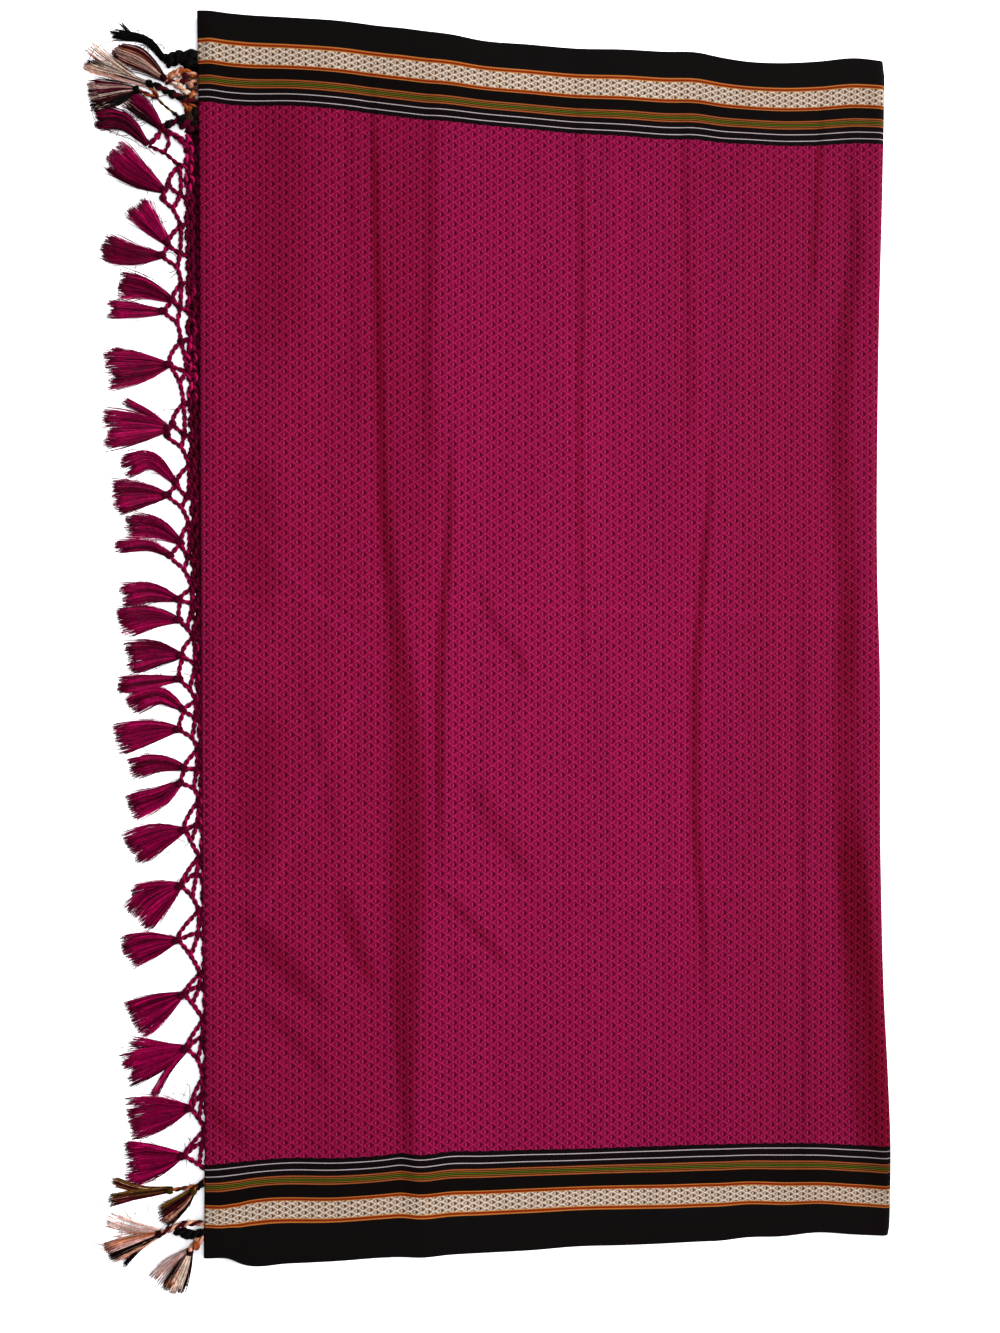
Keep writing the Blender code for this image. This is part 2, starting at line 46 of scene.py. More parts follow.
# The surface and the view. The cloth lies on a plain white sheet and is seen straight from
# above, the lens tilted a few degrees towards the fringes. Daylight comes in softly from the
# right, so that each crease has a dark flank on its left.
MM = 0.001
LENS = 27.087
SENSOR = 36.0
LENS_PLACE = (-67.7, -11.0, 757.9)
LENS_TILT = 5.0
FLOOR_SIZE = 4000.0
FLOOR_DROP = 0.02
FLOOR_COLOUR = "F6F6F7"
SKY_COLOUR = "F4F5FF"
SKY_STRENGTH = 0.60
WINDOW_STRENGTH = 9.8
WINDOW_SOFTNESS = 22.0
WINDOW_DIRECTION = (-0.88, -0.22, -0.42)
CEILING_POWER = 9.0
CEILING_PLACE = (64.0, 58.0, 800.0)
CEILING_SIZE = 500.0
LIGHT_LEVEL = 3.0


def linear(code, light=1.0):
    """An sRGB hex colour as linear red, green and blue.

    A colour that is given as it looks under a brighter light is divided by that light.
    """
    parts = [int(code[at:at + 2], 16) / 255.0 for at in (0, 2, 4)]
    parts = [p / 12.92 if p <= 0.04045 else ((p + 0.055) / 1.055) ** 2.4 for p in parts]
    return tuple(p / light for p in parts)


def add_node(tree, kind, inputs=None, **settings):
    """Add a shader node with its settings, and its inputs as values or as other sockets."""
    node = tree.nodes.new("ShaderNode" + kind)
    for name, value in settings.items():
        setattr(node, name, value)
    for name, value in (inputs or {}).items():
        if isinstance(value, bpy.types.NodeSocket):
            tree.links.new(value, node.inputs[name])
        else:
            node.inputs[name].default_value = value
    return node


def new_material(name):
    """An empty material with a Principled shader on its output."""
    made = bpy.data.materials.new(name)
    made.use_nodes = True
    return made, made.node_tree, made.node_tree.nodes["Principled BSDF"]


def add_to_scene(name, data):
    """A new object of this data, at the origin and unturned."""
    made = bpy.data.objects.new(name, data)
    bpy.context.collection.objects.link(made)
    return made


camera_data = bpy.data.cameras.new("view")
camera_data.sensor_width = SENSOR
camera_data.lens = LENS
camera = add_to_scene("view", camera_data)
camera.location = [value * MM for value in LENS_PLACE]
camera.rotation_euler = (0.0, -math.radians(LENS_TILT), 0.0)
bpy.context.scene.camera = camera
bpy.context.scene.view_settings.view_transform = "Standard"

sky = bpy.data.worlds.new("sky")
sky.use_nodes = True
backdrop = sky.node_tree.nodes["Background"]
backdrop.inputs["Color"].default_value = (*linear(SKY_COLOUR), 1.0)
backdrop.inputs["Strength"].default_value = SKY_STRENGTH
bpy.context.scene.world = sky

window_data = bpy.data.lights.new("window", "SUN")
window_data.energy = WINDOW_STRENGTH
window_data.angle = math.radians(WINDOW_SOFTNESS)
window = add_to_scene("window", window_data)
window.rotation_euler = Vector(WINDOW_DIRECTION).to_track_quat("-Z", "Y").to_euler()

ceiling_data = bpy.data.lights.new("ceiling", "AREA")
ceiling_data.energy = CEILING_POWER
ceiling_data.size = CEILING_SIZE * MM
ceiling = add_to_scene("ceiling", ceiling_data)
ceiling.location = [value * MM for value in CEILING_PLACE]

# Cotton sheet, overexposed: plain white with hardly any texture left
sheet_cotton, tree, shader = new_material("white_cotton_sheet")
shader.inputs["Base Color"].default_value = (*linear(FLOOR_COLOUR), 1.0)
shader.inputs["Roughness"].default_value = 0.95
shader.inputs["Specular IOR Level"].default_value = 0.05
bpy.ops.mesh.primitive_plane_add(size=FLOOR_SIZE * MM, location=(0.0, 0.0, -FLOOR_DROP * MM))
floor = bpy.context.object
floor.name = "white_sheet"
floor.data.materials.append(sheet_cotton)
bpy.ops.object.select_all(action="DESELECT")

# The cloth: one length, 36 inches wide, woven on a hand loom with a small diamond figure in
# magenta, and a black border with stripes along each selvedge. Its outer stretch lies on
# top, goes down round the double fold at the right and lies under the others.
ORIGIN_X = 3.0
CLOTH_WIDTH = 914.0
CLOTH_LOW_EDGE = -450.0
CLOTH_HIGH_EDGE = 462.0
THICKNESS = 0.62
LOWER_BORDER = 75.0
UPPER_BORDER = 65.0
STACK_HEIGHT = 7.0
SELVEDGE_HEIGHT = 5.7
SELVEDGE_FALL = 16.0
RELIEF_AT_SELVEDGE = 0.35
LEFT_FOLD_DEPTH = 3.2
LEFT_FOLD_BOTTOM = 3.5
LEFT_FALL = 1.1
LEFT_FALL_WIDTH = 11.0
RIGHT_FOLD_DEPTH = 5.0
RIGHT_ROLL_HEIGHT = 0.9
RIGHT_ROLL_WIDTH = 20.0
FOLD_MARGIN = 12.0
FOLD_STEPS = 8
TURNED_IN = 14.0
TURNED_IN_SLOPE = 0.02
TOP_PITCH = 2.35
ROW_PITCH = 5.8
UNDER_STEPS = 12
UNDER_HEIGHT = 0.03
FLOOR_GAP = 0.35
BOTTOM_RECESS = 2.4
RECESS_WIDTH = 60.0
RECESS_WANDER = 0.35
HEADING_TOP = (-227.0, 440.0)
HEADING_BOTTOM = (-213.0, -441.0)
CUT_END_GAP = 3.0
CUT_END_INSIDE = 1.5

# Lines that the weave follows, as the cloth lies
# along, upper selvedge, upper edge of the field, lower edge of the field, lower selvedge
BORDER_LINES = (
    (-226, 470.1, 402.4, -376.9, -444.9),
    (-215, 470.6, 402.6, -376.3, -445.7),
    (-199, 469.5, 401.2, -375.2, -446.8),
    (-189, 469.1, 401.0, -374.5, -451.4),
    (-155, 469.1, 402.4, -373.0, -452.5),
    (-120, 468.7, 401.4, -374.7, -452.6),
    (-84, 466.2, 398.6, -373.9, -451.7),
    (-74, 465.9, 398.0, -373.0, -451.9),
    (-58, 464.7, 396.9, -374.6, -453.2),
    (-36, 463.1, 396.0, -373.2, -452.2),
    (-13, 459.6, 394.6, -374.3, -452.1),
    (24, 458.6, 393.3, -374.8, -451.9),
    (60, 457.6, 391.9, -375.5, -450.7),
    (97, 458.8, 391.4, -375.9, -451.5),
    (125, 458.7, 390.4, -376.1, -451.7),
    (153, 459.5, 390.9, -376.2, -451.6),
    (172, 456.6, 389.4, -376.7, -451.8),
    (191, 454.6, 389.3, -377.2, -450.4),
    (219, 454.8, 389.3, -378.1, -451.0),
    (248, 457.6, 391.3, -379.3, -449.3),
    (277, 461.7, 394.2, -381.7, -452.3),
    (308, 459.9, 394.0, -383.6, -455.3),
)

# The lower border's cream band, where pressing pulled it down from its even spacing
# along, drop
BAND_DROP = (
    (-226, 4.6),
    (-212, 4.8),
    (-203, 5.4),
    (-194, 3.2),
    (-185, -0.2),
    (-174, -1.6),
    (-158, -0.8),
    (-141, 0.0),
    (-73, 0.0),
    (-39, 0.8),
    (30, 0.5),
    (98, 0.9),
    (132, 1.7),
    (200, 2.8),
    (235, 4.6),
    (269, 5.0),
    (308, 5.6),
)
BAND_MIDDLE = 37.8

# height on the cloth, left fold
LEFT_FOLD = (
    (-450, -217.4),
    (-365, -216.7),
    (-255, -216.7),
    (-145, -218.1),
    (111, -219.6),
    (389, -221.0),
    (470, -222.4),
)

# height on the cloth, right fold
RIGHT_FOLD = (
    (-453, 305.2),
    (-446, 306.3),
    (-430, 306.6),
    (-380, 307.2),
    (-317, 304.8),
    (-255, 301.5),
    (-161, 299.1),
    (-6, 298.6),
    (56, 296.7),
    (181, 296.7),
    (274, 298.3),
    (367, 300.7),
    (440, 302.2),
    (453, 302.3),
    (460, 301.6),
)

# Creases of the top layer, each a step up towards the right, or down where the rise is
# negative, that dies away on both sides and at both ends. Each paints shade on its flank, or a
# painted highlight where that number is negative
# rise, painted shade of its flank, then points down its line: x, y, width of the flank
CREASES = (
    (0.9, 0.60, (-95, 450, 5), (-91, 299, 5), (-88, 187, 6), (-85, 76, 7), (-81, 20, 7)),
    (0.3, 0.22, (-71, 450, 38), (-71, 300, 40), (-69, 187, 40), (-63, 76, 36), (-60, 0, 30)),
    (1.0, 0.30, (-49, 450, 7), (-51, 300, 8), (-53, 188, 8), (-48, 120, 7)),
    (0.9, 0.60, (-35, 175, 4), (-38, 76, 6), (-42, 24, 7), (-44, -36, 7), (-44, -170, 5)),
    (2.4, 0.58, (-83, 113, 7), (-77, 24, 12), (-70, -51, 22), (-68, -111, 25), (-69, -185, 24),
     (-70, -260, 18), (-69, -334, 11), (-66, -430, 8)),
    (0.6, 0.40, (61, 440, 4), (63, 266, 5), (61, 153, 5), (63, 54, 5), (64, -40, 4)),
    (0.7, 0.28, (142, 430, 5), (145, 307, 5), (147, 231, 7), (147, 140, 6)),
    (1.0, 0.60, (165, 180, 4), (160, 93, 5), (156, 40, 6), (152, -6, 7), (151, -67, 7),
     (152, -144, 6), (157, -213, 5), (158, -280, 4)),
    (0.6, 0.50, (252, 430, 4), (246, 334, 5), (244, 265, 4)),
    (0.5, 0.30, (235, 83, 4), (235, -114, 5), (237, -268, 5), (235, -430, 4)),
    (1.9, 0.40, (275, 400, 8), (278, 312, 11), (269, 234, 15), (265, 157, 17), (269, 95, 18),
     (273, 41, 15), (271, -40, 15)),
    (1.8, 0.44, (271, 60, 15), (271, -37, 19), (271, -114, 19), (276, -192, 20), (281, -260, 18)),
    (2.6, 0.62, (273, -120, 18), (279, -215, 22), (284, -290, 25), (288, -347, 25),
     (296, -430, 20)),
    (0.2, 0.30, (288, -215, 8), (292, -290, 9), (297, -347, 10), (302, -430, 8)),
    (1.4, 0.28, (-165, 450, 45), (-165, 296, 45), (-169, 200, 38)),
    (0.9, 0.32, (-182, 150, 22), (-179, 89, 30), (-175, 20, 22)),
    (0.9, 0.32, (-173, -30, 27), (-178, -102, 30), (-182, -170, 22)),
    (0.5, 0.20, (-111, 430, 8), (-108, 298, 9), (-105, 150, 8)),
    (-0.5, -0.20, (-198, 124, 4), (-147, 53, 4), (-90, -6, 4)),
    (-0.5, -0.16, (-94, -4, 4), (-140, -110, 4), (-186, -225, 4)),
    (0.5, 0.15, (-146, -6, 6), (-133, -73, 7), (-117, -154, 6)),
    (1.0, 0.42, (-119, -168, 8), (-107, -214, 13), (-90, -256, 6)),
    (1.4, 0.42, (-190, -188, 8), (-165, -224, 18), (-128, -268, 8)),
    (0.8, 0.30, (-183, -250, 6), (-158, -279, 9), (-123, -320, 5)),
    (1.0, 0.30, (-23, -92, 9), (-3, -130, 16), (26, -174, 6)),
    (0.9, 0.50, (-51, -172, 4), (-22, -201, 6), (-7, -220, 7), (9, -240, 5)),
    (0.6, 0.15, (-35, -220, 8), (-22, -246, 9), (-5, -270, 6)),
    (0.8, 0.40, (-16, 54, 4), (3, 13, 6), (15, -2, 6), (21, -30, 4)),
    (1.0, 0.35, (-212, -330, 9), (-200, -350, 12), (-186, -368, 8)),
    (-0.5, -0.15, (58, 383, 6), (100, 355, 6), (151, 324, 6)),
    (-0.4, -0.12, (225, 387, 6), (186, 355, 6), (151, 319, 6)),
)
CREASE_REACH = 2.6
CREASE_TAPER = 0.16
CREASE_START = 0.25
FLANK_REACH = 0.6

# Slight unevenness all over, as hand-woven cloth keeps after pressing: waves that cross
# height, millimetres a radian along and across the cloth, start
SWELLS = (
    (0.30, 31.0, 190.0, 0.0),
    (0.30, -120.0, 47.0, 1.3),
    (0.24, 17.0, -88.0, 0.6),
    (0.18, 51.0, 23.0, 0.0),
)

# Painted shade where the cloth darkens: a little towards the left and the right, and more at
# the left fold's edge, most of all near its top, and at the lower part of the right fold's edge
LEFT_DIM = {"dark": 0.23, "from": -95.0, "over": 75.0}
RIGHT_DIM = {"dark": 0.19, "from": 40.0, "over": 230.0}
EDGE_DARK = {"low": 0.12, "top": 0.75, "from": 240.0, "over": 140.0, "reach": 7.0}
RIGHT_EDGE_DARK = {"dark": 0.34, "from": 40.0, "over": -160.0, "reach": 10.0, "full": 0.4}


def place(x, y, z):
    """Points of the tables, in metres, in the model's own frame."""
    return np.stack(np.broadcast_arrays((x - ORIGIN_X) * MM, y * MM, z * MM), axis=-1)


def curve_through(rows, at, column=1):
    """Read a table by a smooth curve through its rows."""
    at = np.asarray(at, float)
    known = np.array([row[0] for row in rows], float)
    value = np.array([row[column] for row in rows], float)
    slope = np.gradient(value, known)
    at = np.clip(at, known[0], known[-1])
    low = np.clip(np.searchsorted(known, at, side="right") - 1, 0, len(known) - 2)
    span = known[low + 1] - known[low]
    share = (at - known[low]) / span
    start = value[low] * (1 + 2 * share) + slope[low] * span * share
    end = value[low + 1] * (3 - 2 * share) - slope[low + 1] * span * (1 - share)
    return start * (1 - share) ** 2 + end * share ** 2


def smooth(share):
    """Ease from 0 to 1."""
    share = np.clip(share, 0.0, 1.0)
    return share * share * (3.0 - 2.0 * share)


def crease_relief(x, y):
    """Height of the creases at points of the top, and the painted shade each gives them."""
    height = np.zeros_like(x)
    shade = np.zeros_like(x)
    for rise, dark, *line in CREASES:
        line = [(down, across, flank) for across, down, flank in reversed(line)]
        lowest, highest = line[0], line[-1]
        tall = highest[0] - lowest[0]
        lean = tall / math.hypot(tall, highest[1] - lowest[1])
        flank = curve_through(line, y, 2)
        across = (x - curve_through(line, y)) * lean / flank
        to_end = np.minimum(highest[0] - y, y - lowest[0]) / tall
        ends = smooth(0.5 * to_end / CREASE_TAPER + CREASE_START)
        step = 2.0 * across / (1.0 + (2.0 * across) ** 4) ** 0.25
        height += 0.5 * rise * ends * step * np.exp(-(across / CREASE_REACH) ** 2)
        shade += dark * ends * np.exp(-(across / FLANK_REACH) ** 4)
    return height, shade


def swell_height(x, y):
    """Height of the swells at points of the top."""
    return sum(
        tall * np.sin(x / along + y / across + start) for tall, along, across, start in SWELLS
    )


def weave_row(v, x):
    """Where the warp thread at distance v from the lower selvedge crosses x."""
    knots = [0.0, BAND_MIDDLE, LOWER_BORDER, CLOTH_WIDTH - UPPER_BORDER, CLOTH_WIDTH]
    lines = [curve_through(BORDER_LINES, x, column) for column in (4, 3, 2, 1)]
    band = lines[0] + (lines[1] - lines[0]) * BAND_MIDDLE / LOWER_BORDER
    lines.insert(1, band - curve_through(BAND_DROP, x))
    y = np.zeros(np.broadcast(v, x).shape)
    for low in range(4):
        share = (v - knots[low]) / (knots[low + 1] - knots[low])
        part = lines[low] + (lines[low + 1] - lines[low]) * share
        y = np.where((v >= knots[low]) & (v <= knots[low + 1]), part, y)
    return y


def edge_shade(x, y, left, right):
    """Painted shade of the cloth towards its two folds."""
    low, top = EDGE_DARK["low"], EDGE_DARK["top"]
    edge = low + (top - low) * smooth((y - EDGE_DARK["from"]) / EDGE_DARK["over"])
    shade = edge * (1.0 - smooth((x - left) / EDGE_DARK["reach"]))
    shade += LEFT_DIM["dark"] * (1.0 - smooth((x - LEFT_DIM["from"]) / LEFT_DIM["over"]))
    shade += RIGHT_DIM["dark"] * smooth((x - RIGHT_DIM["from"]) / RIGHT_DIM["over"])
    edge = smooth((y - RIGHT_EDGE_DARK["from"]) / RIGHT_EDGE_DARK["over"])
    away = (right - x) / RIGHT_EDGE_DARK["reach"] - RIGHT_EDGE_DARK["full"]
    return shade + RIGHT_EDGE_DARK["dark"] * edge * (1.0 - smooth(away))


def top_surface(x, y, left, right):
    """Height of the cloth's upper face, and the painted shade of its creases and edges."""
    upper = curve_through(BORDER_LINES, x, 1)
    lower = curve_through(BORDER_LINES, x, 4)
    rise = smooth(np.minimum(upper - y, y - lower) / SELVEDGE_FALL)
    from_folds = smooth(np.minimum(x - left, right - x) / FOLD_MARGIN)
    roll = 1.0 - smooth((right - x) / RIGHT_ROLL_WIDTH)
    fall = 1.0 - smooth((x - left) / LEFT_FALL_WIDTH)
    relief, shade = crease_relief(x, y)
    uneven = RELIEF_AT_SELVEDGE + (1.0 - RELIEF_AT_SELVEDGE) * rise
    height = SELVEDGE_HEIGHT + (STACK_HEIGHT - SELVEDGE_HEIGHT) * rise
    height += (relief + swell_height(x, y)) * uneven * from_folds
    height += (RIGHT_ROLL_HEIGHT * roll - LEFT_FALL * fall) * rise
    return height, shade + edge_shade(x, y, left, right)


def heading_x(y):
    """Centre line of the strip that starts both fringes."""
    share = (y - HEADING_BOTTOM[1]) / (HEADING_TOP[1] - HEADING_BOTTOM[1])
    return HEADING_BOTTOM[0] + (HEADING_TOP[0] - HEADING_BOTTOM[0]) * share


def cloth_object(name, columns, weave, shade, material):
    """A closed thin strip of cloth from the grid of its outer face.

    The columns run along the cloth and the rows from the lower selvedge to the upper one.
    The UV map holds the weave's own lengths in metres, so the pattern follows the threads.
    """
    grid = np.stack(columns, axis=0)
    along = np.gradient(grid, axis=0)
    up = np.gradient(grid, axis=1)
    normal = np.cross(along, up)
    normal /= np.linalg.norm(normal, axis=-1, keepdims=True)
    inner = grid - normal * THICKNESS * MM
    count, rows = grid.shape[:2]
    index = np.arange(count * rows).reshape(count, rows)
    back = index + count * rows

    def quads(a, b, c, d):
        return np.stack([a.ravel(), b.ravel(), c.ravel(), d.ravel()], axis=-1)

    faces = [
        quads(index[:-1, :-1], index[1:, :-1], index[1:, 1:], index[:-1, 1:]),
        quads(back[:-1, :-1], back[:-1, 1:], back[1:, 1:], back[1:, :-1]),
        quads(index[:-1, 0], back[:-1, 0], back[1:, 0], index[1:, 0]),
        quads(index[:-1, -1], index[1:, -1], back[1:, -1], back[:-1, -1]),
        quads(index[0, :-1], index[0, 1:], back[0, 1:], back[0, :-1]),
        quads(index[-1, :-1], back[-1, :-1], back[-1, 1:], index[-1, 1:]),
    ]
    faces = np.concatenate(faces)
    points = np.concatenate([grid.reshape(-1, 3), inner.reshape(-1, 3)])
    mesh = bpy.data.meshes.new(name)
    mesh.from_pydata(points.tolist(), [], faces.tolist())
    lengths = np.tile(np.stack(weave, axis=0).reshape(-1, 2), (2, 1))
    corners = np.zeros(len(mesh.loops), np.int32)
    mesh.loops.foreach_get("vertex_index", corners)
    uv_map = mesh.uv_layers.new(name="Weave")
    uv_map.data.foreach_set("uv", (lengths[corners] * MM).astype(np.float32).ravel())
    # Painted shade of the creases and of the folds' edges, kept as a point attribute
    painted_shade = mesh.attributes.new("Crease", "FLOAT", "POINT")
    painted_shade.data.foreach_set("value", np.tile(np.stack(shade).ravel(), 2).astype(np.float32))
    mesh.shade_smooth()
    mesh.set_sharp_from_angle(angle=math.radians(50.0))
    mesh.materials.append(material)
    return add_to_scene(name, mesh)


# Khun cloth: cotton warp and silk-like weft. The figure stands up a little from the ground,
# with a pale outline; its hollow is painted darker as shade, and in each diamond the eye has a
# painted highlight on its left side and painted shade on its right. Matt, with a soft magenta
# sheen at grazing light.
FIGURE_LENGTH = 9.6
FIGURE_WIDTH = 6.6
BAND_FIGURE_WIDTH = 4.2
SCALLOP = 0.7
LOWER_EXTRA_BLACK = 1.4
LOWER_EXTRA_FROM = 23.0
SLUB_LINES = (277.0, 487.0)

# Grounds of the figures in the field and in the border's cream band, and what lies over them
GROUND_COLOURS = ("9A083D", "E2D0BA")
# The hollow and pit rows are painted shade in the figure's hollow, the spot row a painted
# highlight on its lit side
# mask in the field, mask in the band, colour in the field, colour in the band
FIGURE_COLOURS = (
    ("shot", "shot", "96144F", "EADAC8"),
    ("traced", "traced", "B22860", "FFF6EA"),
    ("deep_hollow", "hollow", "7C022F", "A88468"),
    ("deep_pit", "pit", "360014", "1A0E0A"),
    ("deep_spot", "spot", "AC3C6C", "ECDCCC"),
)

# Stripes of a border, outwards from the field
# width, colour
STRIPES = (
    (3.55, "0F0A0B"),
    (0.55, "C8BCBE"),
    (4.65, "0F0A0B"),
    (0.55, "C8BCBE"),
    (3.7, "0F0A0B"),
    (0.9, "AC5A2C"),
    (0.5, "2A1208"),
    (0.8, "8E5E26"),
    (0.45, "241A08"),
    (0.9, "4E7010"),
    (0.45, "241A08"),
    (0.8, "8E5E26"),
    (0.5, "2A1208"),
    (0.9, "AC5A2C"),
    (7.7, "0C0A09"),
    (0.9, "CC7836"),
    (1.3, "8E2C0A"),
    (0.7, "CC8436"),
    (12.0, "C8B29C"),
    (0.7, "CC8436"),
    (1.3, "8E2C0A"),
    (1.0, "CC7836"),
    (30.0, "0E0E0D"),
)
BAND_STRIPE = 18
RAMP_LENGTH = 80.0

# What is left of the red, green and blue under full painted shade, as in a crease's flank, in the
# field and in the border
CREASE_SHADE_TONE = (0.62, 0.32, 0.32)
BORDER_SHADE_TONE = (0.64, 0.62, 0.60)
SHEEN_COLOUR = "C0306A"

khun_weave, tree, shader = new_material("khun_weave")
uv = add_node(tree, "UVMap", uv_map="Weave")
metres = add_node(tree, "SeparateXYZ", {0: uv.outputs[0]})
band_start = sum(row[0] for row in STRIPES[:BAND_STRIPE])
band_end = band_start + STRIPES[BAND_STRIPE][0]
field_top = CLOTH_WIDTH - UPPER_BORDER
widen = 1.0 / BAND_FIGURE_WIDTH - 1.0 / FIGURE_WIDTH

# Unevenness of the threads. Beat: no two figures are beaten in alike, some stand open and
# others nearly close up. Fleck: the dyes of warp and weft show in turn. A bar lies across the
# cloth and a streak along it. Thread is the threads' relief, drawn coarser than the real
# ones, which are three to the millimetre.
# name, spots in a metre along the cloth, spots in a metre across it, detail
WEAVE_NOISES = (
    ("beat", 130.0, 170.0, 1.0),
    ("fleck", 620.0, 780.0, 2.0),
    ("bar", 90.0, 4.0, 3.0),
    ("streak", 25.0, 900.0, 2.0),
    ("thread", 1100.0, 1100.0, 1.0),
)
made = {}
for name, along, across, detail in WEAVE_NOISES:
    stretched = add_node(tree, "Mapping", {0: uv.outputs[0], 3: (along, across, 1.0)})
    noise = add_node(tree, "TexNoise", {0: stretched.outputs[0], "Scale": 1.0, "Detail": detail})
    made[name] = noise.outputs[0]

# Operations of the next table that aren't plain arithmetic: the value between two numbers is
# given out between two others, eased, straight, or straight and also beyond them
MAPPED = {
    "SMOOTH": {"interpolation_type": "SMOOTHSTEP"},
    "LINEAR": {},
    "OPEN": {"clamp": False},
}

# The weave's chart: where a point lies in its border and in its diamond, which part of the
# figure that is, how bright the cloth is there, and how far it stands up
# name, operation, inputs as names of earlier rows or as numbers
WEAVE_CHART = (
    # Lengths along the warp and across it, and how far a point lies out in its border
    ("u", "MULTIPLY", metres.outputs[0], 1.0 / MM),
    ("v", "MULTIPLY", metres.outputs[1], 1.0 / MM),
    ("below", "SUBTRACT", LOWER_BORDER, "v"),
    ("above", "SUBTRACT", "v", field_top),
    ("wider", "GREATER_THAN", "below", LOWER_EXTRA_FROM),
    ("shift", "MULTIPLY", "wider", LOWER_EXTRA_BLACK),
    ("below_even", "SUBTRACT", "below", "shift"),
    ("outward", "MAXIMUM", "below_even", "above"),
    ("ramp_at", "DIVIDE", "outward", RAMP_LENGTH),
    ("past_band_start", "GREATER_THAN", "outward", band_start),
    ("before_band_end", "LESS_THAN", "outward", band_end),
    ("in_band", "MULTIPLY", "past_band_start", "before_band_end"),
    # The lattice of diamonds, closer in the band, and the distance to its nearest line
    ("a", "MULTIPLY", "u", 1.0 / FIGURE_LENGTH),
    ("b_field", "MULTIPLY", "v", 1.0 / FIGURE_WIDTH),
    ("b_more", "MULTIPLY", "v", widen),
    ("b_band", "MULTIPLY", "b_more", "in_band"),
    ("b", "ADD", "b_field", "b_band"),
    ("p", "ADD", "a", "b"),
    ("q", "SUBTRACT", "a", "b"),
    ("to_p", "PINGPONG", "p", 0.5),
    ("to_q", "PINGPONG", "q", 0.5),
    ("to_line", "MINIMUM", "to_p", "to_q"),
    ("p_part", "FRACT", "p"),
    ("q_part", "FRACT", "q"),
    ("pq", "ADD", "p_part", "q_part"),
    ("sideways", "SUBTRACT", "pq", 1.0),
    ("tall", "SUBTRACT", "p_part", "q_part"),
    # The field's scalloped edge
    ("turn", "MULTIPLY", "a", math.pi),
    ("wave", "COSINE", "turn"),
    ("bumps", "ABSOLUTE", "wave"),
    ("scallop", "MULTIPLY", "bumps", SCALLOP),
    ("past_field", "SUBTRACT", "outward", "scallop"),
    ("in_border", "GREATER_THAN", "past_field", 0.0),
    # Parts of the figure: its outline, the hollow in it, and the eye, whose pit gets painted shade
    # and whose spot a painted highlight
    ("side_share", "DIVIDE", "sideways", 0.64),
    ("tall_share", "DIVIDE", "tall", 0.84),
    ("side_size", "ABSOLUTE", "side_share"),
    ("tall_size", "ABSOLUTE", "tall_share"),
    ("side_power", "POWER", "side_size", 1.5),
    ("tall_power", "POWER", "tall_size", 1.5),
    ("from_middle", "ADD", "side_power", "tall_power"),
    ("outline", "SMOOTH", "to_line", 0.015, 0.08, 1.0, 0.0),
    ("hollow", "SMOOTH", "from_middle", 1.10, 0.70, 0.0, 1.0),
    ("inside", "SMOOTH", "from_middle", 0.55, 0.22, 0.0, 1.0),
    ("pit_side", "SMOOTH", "sideways", 0.00, 0.10, 0.0, 1.0),
    ("spot_start", "SMOOTH", "sideways", -0.26, -0.14, 0.0, 1.0),
    ("spot_end", "SMOOTH", "sideways", -0.10, 0.02, 1.0, 0.0),
    ("pit", "MULTIPLY", "inside", "pit_side"),
    ("spot_side", "MULTIPLY", "spot_start", "spot_end"),
    ("spot", "MULTIPLY", "spot_side", "inside"),
    # What the beat and the flecks do to them: the beat sets how deep the painted shade and
    # highlight of hollow, pit and spot are
    ("depth", "LINEAR", "beat", 0.30, 0.62, 0.50, 1.0),
    ("deep_hollow", "MULTIPLY", "hollow", "depth"),
    ("deep_pit", "MULTIPLY", "pit", "depth"),
    ("deep_spot", "MULTIPLY", "spot", "depth"),
    ("shot", "LINEAR", "fleck", 0.38, 0.62, 0.0, 1.0),
    ("broken", "LINEAR", "fleck", 0.35, 0.60, 0.35, 1.0),
    ("traced", "MULTIPLY", "outline", "broken"),
    # Brightness, with two thicker warp threads that catch the light in dots
    ("bars", "OPEN", "bar", 0.25, 0.75, 0.93, 1.07),
    ("streaks", "OPEN", "streak", 0.25, 0.75, 0.92, 1.08),
    ("flecks", "OPEN", "fleck", 0.30, 0.70, 0.88, 1.12),
    ("crossed", "MULTIPLY", "bars", "streaks"),
    ("even_tone", "MULTIPLY", "crossed", "flecks"),
    ("from_first_slub", "SUBTRACT", "v", SLUB_LINES[0]),
    ("to_first_slub", "ABSOLUTE", "from_first_slub"),
    ("first_slub", "LINEAR", "to_first_slub", 0.4, 1.1, 0.22, 0.0),
    ("first_tone", "ADD", "even_tone", "first_slub"),
    ("from_second_slub", "SUBTRACT", "v", SLUB_LINES[1]),
    ("to_second_slub", "ABSOLUTE", "from_second_slub"),
    ("second_slub", "LINEAR", "to_second_slub", 0.4, 1.1, 0.22, 0.0),
    ("tone", "ADD", "first_tone", "second_slub"),
    # Relief, with no figure in the plain stripes, and roughness
    ("outline_relief", "MULTIPLY", "outline", 0.8),
    ("hollow_relief", "MULTIPLY", "hollow", -0.6),
    ("all_relief", "ADD", "outline_relief", "hollow_relief"),
    ("plain_border", "SUBTRACT", "in_border", "in_band"),
    ("figured", "SUBTRACT", 1.0, "plain_border"),
    ("figure_relief", "MULTIPLY", "all_relief", "figured"),
    ("relief", "MULTIPLY_ADD", "thread", 0.5, "figure_relief"),
    ("roughness", "LINEAR", "outline", 0.0, 1.0, 0.86, 0.62),
)
for name, operation, *sources in WEAVE_CHART:
    kind = "MapRange" if operation in MAPPED else "Math"
    settings = MAPPED.get(operation, {"operation": operation})
    inputs = {at: made.get(value, value) for at, value in enumerate(sources)}
    made[name] = add_node(tree, kind, inputs, **settings).outputs[0]

